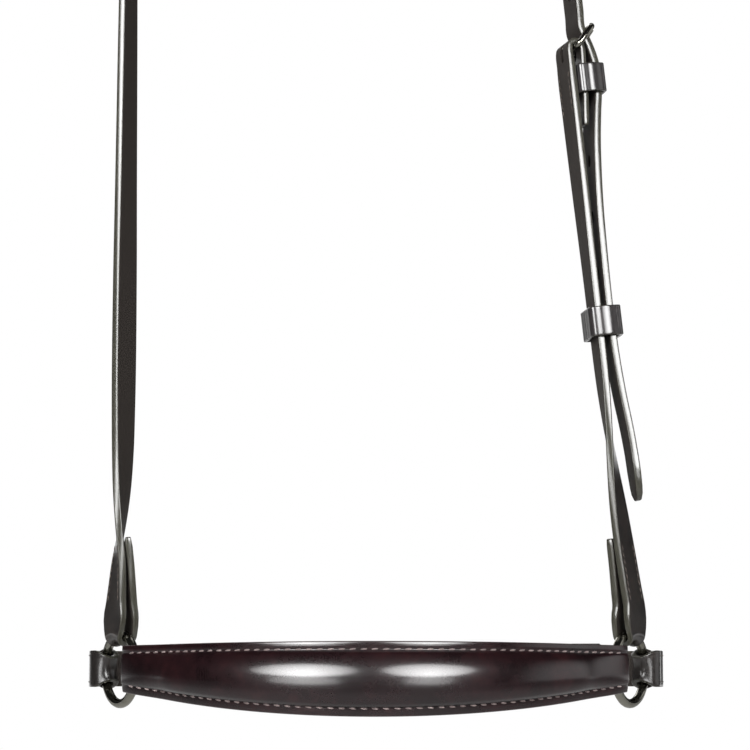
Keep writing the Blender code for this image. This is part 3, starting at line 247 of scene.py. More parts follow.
OFF_CHAPE_PATH = level(-1, (
    (-79.85, -26.36, 1.3, 3.8), (-81.87, -23.85, 1.3, 3.91),
    (-83.4, -20.09, 1.3, 4.69, -0.01, 0.03), (-83.96, -15.72, 1.3, 5.57, -0.21, 0.33),
    (-84.57, -12.71, 1.3, 5.34, -0.4, 0.64), (-85.37, -10.94, 1.3, 4.82, -0.41, 0.67),
    (-86.73, -9.67, 1.3, 4.24, -0.37, 0.59), (-88.55, -9.25, 1.3, 3.82, -0.33, 0.53),
    (-90.33, -9.79, 1.3, 3.67, -0.31, 0.5), (-91.6, -11.16, 1.3, 3.82, -0.33, 0.53),
    (-92.02, -12.97, 1.3, 4.24, -0.36, 0.58), (-91.47, -14.76, 1.3, 4.82, -0.42, 0.67),
    (-90.39, -16.34, 1.3, 5.34, -0.4, 0.64), (-88.58, -18.61, 1.3, 5.57, -0.21, 0.34),
    (-85.89, -21.64, 1.3, 4.69), (-83.27, -24.72, 1.3, 3.91), (-81.25, -27.24, 1.3, 3.8),
))

NEAR_CHAPE_PATH = level(1, (
    (109.46, -26.36, 1.3, 3.8), (111.48, -23.85, 1.3, 3.91), (113, -20.09, 1.3, 4.69, 0.02, 0.03),
    (113.57, -15.72, 1.3, 5.57, 0.21, 0.33), (114.18, -12.71, 1.3, 5.34, 0.4, 0.64),
    (114.97, -10.94, 1.3, 4.82, 0.42, 0.67), (116.33, -9.67, 1.3, 4.24, 0.37, 0.59),
    (118.15, -9.25, 1.3, 3.82, 0.33, 0.53), (119.93, -9.79, 1.3, 3.67, 0.32, 0.5),
    (121.2, -11.16, 1.3, 3.82, 0.33, 0.53), (121.62, -12.97, 1.3, 4.24, 0.37, 0.58),
    (121.08, -14.76, 1.3, 4.82, 0.41, 0.67), (120, -16.34, 1.3, 5.34, 0.4, 0.64),
    (118.18, -18.61, 1.3, 5.57, 0.21, 0.34), (115.49, -21.64, 1.3, 4.69),
    (112.88, -24.72, 1.3, 3.91), (110.86, -27.24, 1.3, 3.8),
))

# Middles of the tongue holes and slots, in millimetres along each strap.
HEAD_HOLES = (784.42, 812.78, 838.53, 864.12, 889.67, 915.2, 761.13, 735.74)
CHIN_HOLES = (247.87, 276.06, 223.92, 302.83, 197.44)
CHEEK_SLOTS = (319.71,)
CHIN_SLOTS = (148.13,)

# Keepers: body, middle in millimetres, directions out and across, and outer depth, outer width,
# wall and length.
KEEPERS = (
    ("head_fixed_keeper", "headpiece", (109.453, 2.315, -188.777), (0.955902, 0.275966, 0.100469),
     (0.274455, -0.961167, 0.028846), 12.979, 20.0, 1.4, 13.0),
    ("head_runner", "head_runner", (115.572, 0.358, -298.722), (0.985601, 0.133643, 0.103591),
     (0.132911, -0.99103, 0.01397), 14.561, 20.8, 1.8, 13.2),
    ("chin_fixed_keeper", "chin", (82.17, 66.1, -451), (0.258819, 0.965926, 0),
     (0, 0, 1), 12.579, 20.0, 1.4, 13.0),
    ("chin_runner", "chin_runner", (111.229, 51.685, -451), (0.258819, 0.965926, 0),
     (0, 0, 1), 12.773, 20.8, 1.8, 13.2),
)

# Buckles: body, middle of the heel bar in millimetres, and the buckle's directions along and out.
BUCKLES = (
    ("head", "headpiece", (102.669, 0.8, -174.709), (0.561943, 0.184658, 0.806301),
     (0.780317, 0.205083, -0.590802)),
    ("chin", "chin", (66.602, 64.796, -451), (-0.544639, 0.838671, 0), (0.838671, 0.544639, 0)),
)

# Lamps: name, place, what they aim at, width and height, watts, and the angle in degrees to which
# the grid on their front holds the light.
LAMPS = (
    ("off side lamp", (-0.70, -1.318, 0.04), (0.015, 0, -0.27), (1.2, 0.56), 2.8, 50),
    ("near side lamp", (0.565, -1.395, 0.04), (0.015, 0, -0.27), (1.0, 0.56), 2.1, 50),
    ("off side low lamp", (-0.64, -1.25, -0.37), (0.015, 0, -0.42), (0.72, 0.2), 0.24, 60),
    ("near side low lamp", (0.51, -1.32, -0.37), (0.015, 0, -0.42), (0.5, 0.2), 0.13, 60),
    ("overhead lamp", (0.1, 0.5, 1.3), (0, 0.2, -0.3), (1.2, 1.2), 2.4, 180),
    ("rear lamp", (-0.5, 1.5, 0.5), (0, 0, -0.3), (1.0, 1.0), 6, 180),
)

# A place from which no two faces of a new sphere are equally far.
SORTING_PLACE = (1, 2, 4)

FLOOR_SIZE = 16
FLOOR_HEIGHT = -0.60
CAMERA_LENS = 120
CAMERA_SENSOR = 36
CAMERA_DISTANCE = 1.1
CAMERA_TILT = math.radians(96.7)


# Paths.

class Path:
    """The route that a flat strip is laid along."""

    def __init__(self, rows):
        full = [tuple(row) + PLAIN_STRAP[len(row) - 6:] for row in rows]
        self.table = np.array(full, float) * MM
        steps = np.linalg.norm(np.diff(self.table[:, 0:3], axis=0), axis=1)
        self.stations = np.concatenate(([0], np.cumsum(steps)))
        self.slopes = np.gradient(self.table, self.stations, axis=0)
        self.length = float(self.stations[-1])

    def values(self, along):
        """Smoothly read table values at distances along the path."""
        i = np.clip(np.searchsorted(self.stations, along) - 1, 0, len(self.stations) - 2)
        span = (self.stations[i + 1] - self.stations[i])[:, None]
        t = (along - self.stations[i])[:, None] / span
        rise = self.table[i + 1] - self.table[i]
        bend_in = self.slopes[i] * span - rise
        bend_out = rise - self.slopes[i + 1] * span
        return self.table[i] + rise * t + t * (1 - t) * ((1 - t) * bend_in + t * bend_out)

    def middle(self, along, across):
        """Points half way through the leather; across runs from -1 to 1."""
        values = self.values(along)
        return (values[:, 0:3] + values[:, 3:6] * across[:, None]
                + values[:, 7:10] * (across ** 2)[:, None])

    def lay(self, along, across, out):
        """Points of the laid leather; out runs from -1 on the flesh side to 1 on the grain side."""
        step, share = 0.05 * MM, 0.01
        heading = self.middle(along + step, across) - self.middle(along - step, across)
        aside = self.middle(along, across + share) - self.middle(along, across - share)
        normal = np.cross(aside, heading)
        normal /= np.linalg.norm(normal, axis=1)[:, None]
        thickness = self.values(along)[:, 6]
        return self.middle(along, across) + normal * (thickness * out / 2)[:, None]

    def cuts(self, longest=3.2 * MM):
        """Stations for cross cuts, closer together in the bends."""
        places = np.linspace(0, self.length, 4000)
        middle = self.middle(places, np.zeros(len(places)))
        heading = np.diff(middle, axis=0)
        heading /= np.linalg.norm(heading, axis=1)[:, None]
        turn = np.arccos(np.clip((heading[1:] * heading[:-1]).sum(axis=1), -1, 1))
        need = np.diff(places) / longest
        need[1:] += turn / SHARPEST_TURN
        total = np.concatenate(([0], np.cumsum(need)))
        count = int(math.ceil(total[-1]))
        return np.interp(np.linspace(0, total[-1], count + 1), total, places)


# Tools.

def only(piece):
    """Select one piece alone."""
    bpy.ops.object.select_all(action="DESELECT")
    piece.select_set(True)
    bpy.context.view_layer.objects.active = piece


def added(name, primitive, **settings):
    """Add a primitive under a name."""
    bpy.ops.object.select_all(action="DESELECT")
    primitive(**settings)
    piece = bpy.context.object
    piece.name = name
    return piece


def apply(piece, kind, **settings):
    """Add a modifier and apply it."""
    only(piece)
    modifier = piece.modifiers.new(kind.lower(), kind)
    for name, value in settings.items():
        setattr(modifier, name, value)
    bpy.ops.object.modifier_apply(modifier=modifier.name)


def settle(piece):
    """Put a piece's place and turn into its mesh."""
    only(piece)
    bpy.ops.object.transform_apply(location=True, rotation=True, scale=True)


def points_of(piece):
    flat = np.zeros(len(piece.data.vertices) * 3)
    piece.data.vertices.foreach_get("co", flat)
    return flat.reshape(-1, 3)


def put_points(piece, points):
    piece.data.vertices.foreach_set("co", np.asarray(points, float).ravel())
    piece.data.update()


def pull_apart(points, axis, centre, shift):
    """Move the points on both sides of a centre away from it; those on it stay."""
    side = points[:, axis] - centre
    points[:, axis] += np.sign(side) * (np.abs(side) > 0.01 * MM) * shift


def mirrored(unit, places):
    """Column places on both sides of a strip's middle, and the middle."""
    half = [unit * place for place in places]
    return [-place for place in reversed(half)] + [0] + half


def joined(name, pieces):
    only(pieces[0])
    for piece in pieces:
        piece.select_set(True)
    bpy.ops.object.join()
    pieces[0].name = name
    return pieces[0]


def face_outwards(piece, weld=0):
    """Turn a closed piece's faces outwards, after welding points nearer than the weld distance."""
    only(piece)
    bpy.ops.object.mode_set(mode="EDIT")
    bpy.ops.mesh.select_all(action="SELECT")
    if weld:
        bpy.ops.mesh.remove_doubles(threshold=weld)
    bpy.ops.mesh.normals_make_consistent(inside=False)
    bpy.ops.object.mode_set(mode="OBJECT")


def sort_faces(piece):
    """Give a new sphere's faces one order, because Blender lists them otherwise in each run."""
    cursor = bpy.context.scene.cursor
    cursor.location = SORTING_PLACE
    only(piece)
    bpy.ops.object.mode_set(mode="EDIT")
    bpy.ops.mesh.select_all(action="SELECT")
    bpy.ops.mesh.sort_elements(type="CURSOR_DISTANCE", elements={"FACE"})
    bpy.ops.object.mode_set(mode="OBJECT")
    cursor.location = (0, 0, 0)


def smooth_all(piece):
    only(piece)
    bpy.ops.object.shade_smooth()


def smooth_faces(piece, degrees=38):
    """Smooth shading, but for edges sharper than an angle."""
    only(piece)
    bpy.ops.object.shade_smooth_by_angle(angle=math.radians(degrees))


def finish_piece(piece, material, body, replaces=()):
    piece.data.materials.clear()
    piece.data.materials.append(material)
    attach(piece, body)
    if replaces:
        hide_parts(*replaces)
    return piece


def cut_flat(name, stations, columns, thickness, edge):
    """A flat strip along X with its rims rounded."""
    piece = added(name, bpy.ops.mesh.primitive_grid_add, x_subdivisions=len(stations) - 1,
                  y_subdivisions=len(columns) - 1, size=2)
    points = points_of(piece)
    for axis, places in enumerate((stations, columns)):
        index = np.rint((points[:, axis] + 1) / 2 * (len(places) - 1)).astype(int)
        points[:, axis] = np.asarray(places)[index]
    put_points(piece, points)
    apply(piece, "SOLIDIFY", thickness=thickness, offset=0)
    apply(piece, "BEVEL", width=edge, segments=3, limit_method="ANGLE",
          angle_limit=math.radians(50))
    return piece


def cut_away(piece, tool):
    apply(piece, "BOOLEAN", operation="DIFFERENCE", solver="EXACT", object=tool)
    bpy.data.objects.remove(tool)


def punch(strap, places):
    """Oval holes through a flat strap, long way along it."""
    tools = []
    for place in places:
        tool = added("hole", bpy.ops.mesh.primitive_cylinder_add, vertices=28, radius=1, depth=2)
        tool.scale = (HOLE_LENGTH / 2, HOLE_WIDTH / 2, STRAP_THICKNESS)
        tool.location = (place * MM, 0, 0)
        settle(tool)
        tools.append(tool)
    cut_away(strap, joined("punch", tools))


def cut_slot(strap, place):
    """A slot with rounded ends for the buckle's tongue."""
    tool = added("slot", bpy.ops.mesh.primitive_cylinder_add, vertices=24, radius=SLOT_WIDTH / 2,
                 depth=STRAP_THICKNESS * 2)
    tool.location = (place * MM, 0, 0)
    settle(tool)
    points = points_of(tool)
    pull_apart(points, 0, place * MM, (SLOT_LENGTH - SLOT_WIDTH) / 2)
    put_points(tool, points)
    cut_away(strap, tool)


def keep_flat_place(piece):
    """Store the flat place along and across as UVs, and how near a point is to the flesh side."""
    points = points_of(piece)
    mesh = piece.data
    corners = np.zeros(len(mesh.loops), int)
    mesh.loops.foreach_get("vertex_index", corners)
    layer = mesh.uv_layers[0] if mesh.uv_layers else mesh.uv_layers.new(name="flat")
    layer.name = "flat"
    layer.data.foreach_set("uv", points[corners][:, :2].ravel())
    depth = np.abs(points[:, 2]).max()
    flesh = mesh.attributes.new("flesh", "FLOAT", "POINT")
    flesh.data.foreach_set("value", np.clip(-points[:, 2] / depth, 0, 1))


def lay_leather(piece, path, width=STRAP_WIDTH, thickness=STRAP_THICKNESS):
    """Lay a flat piece along a path."""
    keep_flat_place(piece)
    along, across, out = points_of(piece).T
    put_points(piece, path.lay(along, across * 2 / width, out * 2 / thickness))
    smooth_faces(piece)


# Straps and their seams.

def make_strap(name, path, holes, slots):
    columns = mirrored(MM, (2.5, 5, 6.9, 8))
    strap = cut_flat(name, path.cuts(), columns, STRAP_THICKNESS, STRAP_EDGE)
    if holes:
        punch(strap, holes)
    for slot in slots:
        cut_slot(strap, slot)
    lay_leather(strap, path)
    return strap


def stitch_row(first, across, count, pitch, lean, size):
    """One stitch, plump in the middle and let in at its ends, then its copies along X."""
    stitch = added("stitch", bpy.ops.mesh.primitive_uv_sphere_add, segments=8, ring_count=6,
                   radius=0.5, rotation=(0, math.pi / 2, 0))
    sort_faces(stitch)
    settle(stitch)
    stitch.scale = size
    settle(stitch)
    stitch.rotation_euler = (0, 0, STITCH_LEAN * lean)
    stitch.location = (first + pitch / 2, across, 0)
    settle(stitch)
    apply(stitch, "ARRAY", count=count, use_relative_offset=False, use_constant_offset=True,
          constant_offset_displace=(pitch, 0, 0))
    return stitch


def make_seam(name, path, first, last, side):
    """Two rows of stitches near a strap's edges, on its grain side or its flesh side."""
    count = max(int((last - first) / SEAM_PITCH), 1)
    line = STRAP_WIDTH / 2 - SEAM_INSET
    seam = joined(name, [stitch_row(first, across * line, count, SEAM_PITCH, across, STITCH_SIZE)
                         for across in (-1, 1)])
    along, across, out = points_of(seam).T
    lifted = out + side * STRAP_THICKNESS / 2
    put_points(seam, path.lay(along, across * 2 / STRAP_WIDTH, lifted * 2 / STRAP_THICKNESS))
    face_outwards(seam)
    smooth_all(seam)
    return seam


# Nosepiece. Along is a distance from its middle, along its arc.

def ease(share):
    share = np.clip(share, 0, 1)
    return share * share * (3 - 2 * share)


def nose_band(along):
    """Middle height and half height of the nosepiece."""
    share = np.cos(math.pi / 2 * np.clip(np.abs(along / NOSE_RADIUS) / RING_TURN, 0, 1))
    bottom = NOSE_BOTTOM_END + (NOSE_BOTTOM_MIDDLE - NOSE_BOTTOM_END) * share
    top = NOSE_TOP_END + (NOSE_TOP_MIDDLE - NOSE_TOP_END) * share
    return (top - bottom) / 2, (top + bottom) / 2


def nose_crown(along):
    """Height of the crown, which tapers to the ends."""
    distance = (RING_TURN - np.abs(along / NOSE_RADIUS)) * NOSE_RADIUS
    return CROWN_HEIGHT * (CROWN_END_SHARE
                           + (1 - CROWN_END_SHARE) * ease(distance / CROWN_TAPER_LENGTH))


def on_nose(along, height, out):
    """Points on the nosepiece's arc, which runs straight past its ends."""
    angle = np.clip(along / NOSE_RADIUS, -RING_TURN, RING_TURN)
    past = along - angle * NOSE_RADIUS
    outward = np.stack((np.sin(angle), -np.cos(angle), 0 * angle), axis=1)
    heading = np.stack((np.cos(angle), np.sin(angle), 0 * angle), axis=1)
    points = np.array(NOSE) + np.array((0, NOSE_ARC_Y, 0)) + outward * (NOSE_RADIUS + out)[:, None]
    points = points + heading * past[:, None]
    points[:, 2] += height
    return points


def nose_height(along, across):
    """Height of a flat piece's point: the margins keep their width and the middle stretches."""
    middle, half = nose_band(along)
    from_edge = FLAT_HALF - np.abs(across)
    inner = (half - MARGIN) * np.abs(across) / (FLAT_HALF - MARGIN)
    reach = np.where(from_edge < MARGIN, half - from_edge, inner)
    return middle + np.sign(across) * reach


def cover_out(along, height, share):
    """How far the cover stands out; share runs from -1 on its back to 1 on its face."""
    middle, half = nose_band(along)
    flare = FLARE * (1 - ease((NOSE_REACH - np.abs(along)) / FLARE_LENGTH))
    back = FACE_GAP + flare
    place = np.clip((height - middle) / (half - STITCH_MARGIN), -1, 1)
    place = np.abs(place + CROWN_DROP * (1 - place ** 2))
    crown = nose_crown(along)
    face_crown = crown * np.sqrt(np.clip(1 - place ** CROWN_FULLNESS, 0, 1))
    back_place = place / BACK_CROWN_SHARE
    back_crown = crown * np.sqrt(np.clip(1 - back_place ** BACK_CROWN_FULLNESS, 0, 1))
    from_edge = half - np.abs(height - middle)
    groove = (np.where(height > middle, TOP_GROOVE, BOTTOM_GROOVE)
              * np.exp(-((from_edge - STITCH_LINE) / GROOVE_WIDTH) ** 2))
    rim = RIM_DROP * ease(from_edge / RIM_ROUNDING) - RIM_DROP
    thinned = BOTTOM_THINNING * np.clip(STITCH_LINE - from_edge, 0, None) * (height < middle)
    face = back + COVER_THICKNESS + face_crown - groove + rim - thinned
    rear = back + back_crown
    return rear + (face - rear) * (share + 1) / 2


def make_nose_cover():
    """Crowned outer leather, with more columns where its thread lies."""
    ends = NOSE_REACH + COVER_OVERLAP
    from_edge = [place * MM for place in (0, 0.7, 1.5, 2.3, 2.8, 3.05, 3.3, 3.55, 3.8, 4.2)]
    inner = [(FLAT_HALF - MARGIN) * math.sin(math.pi / 2 * i / 7) for i in range(1, 8)]
    columns = mirrored(1, sorted([FLAT_HALF - place for place in from_edge] + inner))
    cover = cut_flat("nose_cover_leather", np.linspace(-ends, ends, 141), columns,
                     COVER_THICKNESS, COVER_EDGE)
    keep_flat_place(cover)
    along, across, depth = points_of(cover).T
    height = nose_height(along, across)
    out = cover_out(along, height, depth / (COVER_THICKNESS / 2))
    put_points(cover, on_nose(along, height, out))
    face_outwards(cover)
    smooth_faces(cover, 45)
    return cover


def make_nose_thread(name, side):
    """One row of stitches along the top or the bottom of the nosepiece."""
    pitch = NOSE_SEAM_PITCH
    count = int(2 * (NOSE_REACH - NOSE_SEAM_INSET) / pitch)
    row = stitch_row(-count * pitch / 2, 0, count, pitch, side, NOSE_STITCH_SIZE)
    along, across, lift = points_of(row).T
    middle, half = nose_band(along)
    line = middle + side * (half - STITCH_LINE)
    out = cover_out(along, line, 1) + lift + NOSE_STITCH_LIFT
    put_points(row, on_nose(along, line + across, out))
    row.name = name
    face_outwards(row)
    smooth_all(row)
    return row


def make_nose_lining():
    """Soft leather against the nose; its edges show beside the cover's."""
    reach = NOSE_REACH - LINING_INSET
    columns = [place * MM for place in (-12.7, -12, -10, -7, -3.5, 0, 3.5, 7, 10, 11.7, 12.4)]
    lining = cut_flat("nose_lining_leather", np.linspace(-reach, reach, 91), columns,
                      LINING_THICKNESS, LINING_EDGE)
    keep_flat_place(lining)
    along, across, depth = points_of(lining).T
    out = -FACE_GAP - LINING_THICKNESS / 2 + depth
    put_points(lining, on_nose(along, nose_height(along, across), out))
    smooth_faces(lining)
    return lining


def make_nose_padding():
    """Felt under the crown, full in the middle and thin along its rim."""
    reach = NOSE_REACH - PADDING_INSET
    columns = [math.sin(math.pi / 2 * i / 8) for i in range(-8, 9)]
    pad = cut_flat("nose_padding_felt", np.linspace(-reach, reach, 81), columns, 2, 0.02)
    keep_flat_place(pad)
    along, across, depth = points_of(pad).T
    middle, half = nose_band(along)
    height = middle + (half - STITCH_MARGIN) * PADDING_HEIGHT_SHARE * across
    round_off = np.sqrt(np.clip(1 - np.abs(across) ** PADDING_FULLNESS, 0.001, 1))
    face = nose_crown(along) * PADDING_DEPTH_SHARE * round_off
    put_points(pad, on_nose(along, height, FACE_GAP + face * (depth + 1) / 2))
    face_outwards(pad)
    smooth_faces(pad, 50)
    return pad


def make_chape(name, rows):
    path = Path(rows)
    columns = mirrored(CHAPE_WIDTH / 2, (0.3, 0.6, 0.85, 1))
    chape = cut_flat(name, path.cuts(longest=1.6 * MM), columns, CHAPE_THICKNESS, CHAPE_EDGE)
    lay_leather(chape, path, CHAPE_WIDTH, CHAPE_THICKNESS)
    return chape


# Keepers.

def bowed(place, half, bow):
    """How far a flat side of a loop stands out."""
    return bow * (1 - min(abs(place) / half, 1) ** 2)


def loop_rows(place, out, across, depth, width, wall, length, corner):
    """Path of a band of leather round two directions, from the middle of its inner side."""
    along = out.cross(across)
    outline = []
    for turn, (side, edge) in enumerate(((1, 1), (-1, 1), (-1, -1), (1, -1))):
        for i in range(6):
            angle = math.pi / 2 * (turn + i / 5)
            outline.append((side * (depth / 2 - corner) + corner * math.cos(angle),
                            edge * (width / 2 - corner) + corner * math.sin(angle)))
    inner_side = (-depth / 2, 0)
    outline = [inner_side] + outline[12:] + outline[:12] + [inner_side]
    points = []
    for here, there in zip(outline, outline[1:]):
        steps = max(int(math.dist(here, there) / (2.2 * MM)), 1)
        points += [(here[0] + (there[0] - here[0]) * i / steps,
                    here[1] + (there[1] - here[1]) * i / steps) for i in range(steps)]
    points.append(inner_side)
    hair = 0.001 * MM
    rows = []
    for x, y in points:
        if abs(y) > width / 2 - hair:
            y += math.copysign(bowed(x, depth / 2 - corner, KEEPER_SIDE_BOW), y)
        elif x > depth / 2 - hair:
            x += bowed(y, width / 2 - corner, KEEPER_FACE_BOW)
        middle = place + out * x + across * y
        rows.append([value / MM for value in (*middle, *(along * (-length / 2)), wall)])
    return rows


def make_keeper(name, place, out, across, depth, width, wall, length):
    """Loop of leather; depth and width are measured outside."""
    path = Path(loop_rows(place, out, across, depth - wall, width - wall, wall, length,
                          KEEPER_CORNER + wall / 2))
    columns = mirrored(length / 2, (0.3, 0.6, 0.86, 1))
    keeper = cut_flat(name, path.cuts(longest=1.1 * MM), columns, wall, KEEPER_EDGE)
    lay_leather(keeper, path, length, wall)
    return keeper


# Steel.

def placed(place, x, y, z):
    """Matrix of a place and three directions."""
    return Matrix.Translation(place) @ Matrix((x, y, z)).transposed().to_4x4()


def make_ring(name, side):
    """Round wire ring, welded shut."""
    ring = added(name, bpy.ops.mesh.primitive_torus_add, major_radius=RING_RADIUS,
                 minor_radius=RING_WIRE / 2, major_segments=96, minor_segments=20)
    front = Vector((-side * math.cos(RING_TURN), -math.sin(RING_TURN), 0))
    outward = Vector((side * math.sin(RING_TURN), -math.cos(RING_TURN), 0))
    middle = NOSE + Vector((side * RING_SPACING / 2, 0, 0))
    ring.matrix_world = placed(middle, front, outward.cross(front), outward)
    settle(ring)
    smooth_all(ring)
    return ring


def make_buckle(name, matrix):
    """A torus pulled apart into a frame with round corners."""
    buckle = added(name, bpy.ops.mesh.primitive_torus_add, major_radius=BUCKLE_CORNER,
                   minor_radius=BUCKLE_WIRE / 2, major_segments=48, minor_segments=20)
    points = points_of(buckle)
    for axis, size in ((0, BUCKLE_WIDTH), (1, BUCKLE_LENGTH)):
        pull_apart(points, axis, 0, size / 2 - BUCKLE_CORNER)
    points[:, 1] += BUCKLE_LENGTH / 2
    put_points(buckle, points)
    buckle.matrix_world = matrix
    settle(buckle)
    smooth_all(buckle)
    return buckle


def make_tongue(name, matrix):
    """Wire hooked round the heel bar and tapered towards its tip."""
    rest = (BUCKLE_WIRE + TONGUE_WIRE) / 2 + TONGUE_CLEARANCE
    tip = BUCKLE_LENGTH + BUCKLE_WIRE / 2 + TONGUE_OVERHANG
    places = [(0, tip * (1 - i / 8), rest, 0.62 + 0.38 * min(i / 4, 1)) for i in range(8)]
    for i in range(15):
        angle = TONGUE_HOOK * i / 14
        places.append((0, -rest * math.sin(angle), rest * math.cos(angle), 1))
    curve = bpy.data.curves.new(name, "CURVE")
    curve.dimensions = "3D"
    curve.bevel_depth = TONGUE_WIRE / 2
    curve.bevel_resolution = 4
    curve.use_fill_caps = True
    spline = curve.splines.new("POLY")
    spline.points.add(len(places) - 1)
    for point, (x, y, z, thin) in zip(spline.points, places):
        point.co = (x, y, z, 1)
        point.radius = thin
    tongue = bpy.data.objects.new(name, curve)
    bpy.context.collection.objects.link(tongue)
    only(tongue)
    bpy.ops.object.convert(target="MESH")
    tongue = bpy.context.object
    tongue.matrix_world = matrix
    settle(tongue)
    face_outwards(tongue, weld=0.001 * MM)
    smooth_faces(tongue, 50)
    return tongue


# Node tools.

def new_group(name, outputs, **inputs):
    """Empty node group with a Vector input for the place; an input's value shows its kind."""
    group = bpy.data.node_groups.new(name, "ShaderNodeTree")
    for label, value in {"Vector": (0, 0, 0), **inputs}.items():
        kind = {3: "Vector", 4: "Color"}[len(value)] if isinstance(value, tuple) else "Float"
        socket = group.interface.new_socket(name=label.replace("_", " "), in_out="INPUT",
                                            socket_type="NodeSocket" + kind)
        socket.default_value = value
    for label in outputs:
        kind = "Color" if label == "Color" else "Float"
        group.interface.new_socket(name=label, in_out="OUTPUT", socket_type="NodeSocket" + kind)
    given = group.nodes.new("NodeGroupInput")
    return group, given.outputs, group.nodes.new("NodeGroupOutput")


def node(tree, kind, inputs=None, **settings):
    """Add a node; inputs map a socket's name or number to a value or to another socket."""
    made = tree.nodes.new("ShaderNode" + kind)
    for name, value in settings.items():
        setattr(made, name, value)
    for key, value in (inputs or {}).items():
        socket = made.inputs[key]
        if isinstance(value, bpy.types.NodeSocket):
            tree.links.new(value, socket)
        else:
            socket.default_value = value
    return made


def give(tree, target, **values):
    """Link values into a node's named inputs."""
    for label, value in values.items():
        tree.links.new(value, target.inputs[label.replace("_", " ")])


def number(tree, operation, first, second=0.0, clamp=False):
    made = node(tree, "Math", {0: first, 1: second}, operation=operation, use_clamp=clamp)
    return made.outputs[0]


def times(tree, first, second):
    return number(tree, "MULTIPLY", first, second)


def plus(tree, first, second, clamp=False):
    return number(tree, "ADD", first, second, clamp)


def less(tree, first, second):
    return number(tree, "SUBTRACT", first, second)


def spread(tree, value, low, high, to_low=0.0, to_high=1.0):
    """Smooth step from one range to another."""
    ends = {"From Min": low, "From Max": high, "To Min": to_low, "To Max": to_high}
    made = node(tree, "MapRange", {"Value": value, **ends}, interpolation_type="SMOOTHSTEP")
    return made.outputs[0]


def noise(tree, place, scale, detail=2.0, roughness=0.5, distortion=0.0):
    return node(tree, "TexNoise", {"Vector": place, "Scale": scale, "Detail": detail,
                                   "Roughness": roughness, "Distortion": distortion}).outputs["Fac"]


def blended(tree, share, first, second):
    """Mix of two colours."""
    made = tree.nodes.new("ShaderNodeMix")
    made.data_type = "RGBA"
    for index, value in ((0, share), (6, first), (7, second)):
        if isinstance(value, bpy.types.NodeSocket):
            tree.links.new(value, made.inputs[index])
        else:
            made.inputs[index].default_value = value
    return made.outputs[2]


def bumped(tree, height, strength, distance):
    made = node(tree, "Bump", {"Height": height, "Strength": strength, "Distance": distance})
    return made.outputs[0]


# Node groups.

def make_grain_group():
    """Fine pebbled hair-cell grain with soft creases."""
    group, given, result = new_group("leather grain", ("Height", "Pores"),
                                     Cell_size=0.0006, Crease=0.3)
    scale = number(group, "DIVIDE", 1.0, given["Cell size"])
    warp = node(group, "TexNoise", {"Vector": given["Vector"], "Scale": 420.0, "Detail": 2.0})
    moved = node(group, "VectorMath", {0: warp.outputs["Color"], 1: (0.0006, 0.0006, 0.0006)},
                 operation="MULTIPLY")
    place = node(group, "VectorMath", {0: given["Vector"], 1: moved.outputs[0]}, operation="ADD")
    cells = node(group, "TexVoronoi", {"Vector": place.outputs[0], "Scale": scale}, feature="F1")
    pebble = spread(group, cells.outputs["Distance"], 0.1, 0.8, 1.0, 0.0)
    fold = times(group, noise(group, given["Vector"], 160.0, 5.0, 0.6), given["Crease"])
    give(group, result, Height=plus(group, times(group, pebble, 0.6), fold),
         Pores=spread(group, pebble, 0.0, 0.35, 1.0, 0.0))
    return group


def make_tone_group():
    """Uneven dye: darker clouds, warmer patches where hands polish it."""
    group, given, result = new_group("leather tone", ("Color", "Cloud"), Dark=(0, 0, 0, 1),
                                     Body=(0, 0, 0, 1), Warm=(0, 0, 0, 1))
    cloud = noise(group, given["Vector"], 38.0, 4.0, 0.62)
    fine = noise(group, given["Vector"], 260.0, 3.0)
    dyed = blended(group, spread(group, cloud, 0.32, 0.56), given["Dark"], given["Body"])
    patches = plus(group, times(group, cloud, 0.6), times(group, fine, 0.4))
    warmed = blended(group, spread(group, patches, 0.48, 0.7), dyed, given["Warm"])
    give(group, result, Color=warmed, Cloud=cloud)
    return group


def make_edge_group():
    """The two long cut edges of a flat piece, with their nap, and the creased line beside each."""
    group, given, result = new_group("cut edge", ("Edge", "Crease", "Nap"), Flat_place=(0, 0, 0),
                                     Half_width=0.008, Edge=0.0005, Crease_inset=0.0014)
    flat = given["Flat place"]
    across = number(group, "ABSOLUTE", node(group, "SeparateXYZ", {0: flat}).outputs[1])
    inside = less(group, given["Half width"], across)
    wander = times(group, less(group, noise(group, flat, 150.0, 3.0), 0.5), 0.0005)
    share = number(group, "DIVIDE", plus(group, inside, wander), given["Edge"])
    line = number(group, "ABSOLUTE", less(group, inside, given["Crease inset"]))
    give(group, result, Edge=spread(group, share, 0.35, 1.1, 1.0, 0.0),
         Crease=spread(group, line, 0.0, 0.00022, 1.0, 0.0),
         Nap=noise(group, given["Vector"], 620.0, 4.0, 0.6))
    return group


def make_wear_group():
    """Handling marks on polished steel."""
    group, given, result = new_group("steel wear", ("Roughness", "Height", "Film"),
                                     Polish=0.12, Wear=0.12)
    clouds = noise(group, given["Vector"], 130.0, 5.0, 0.65)
    turned = node(group, "Mapping", {"Vector": given["Vector"], "Rotation": (0.5, 0.3, 0.8),
                                     "Scale": (3.5, 0.35, 1.2)})
    thin = spread(group, noise(group, turned.outputs[0], 900.0, 3.0), 0.52, 0.66)
    marks = plus(group, spread(group, clouds, 0.35, 0.75), times(group, thin, 0.5))
    give(group, result, Roughness=plus(group, given["Polish"], times(group, given["Wear"], marks)),
         Height=thin, Film=spread(group, clouds, 0.45, 0.75))
    return group


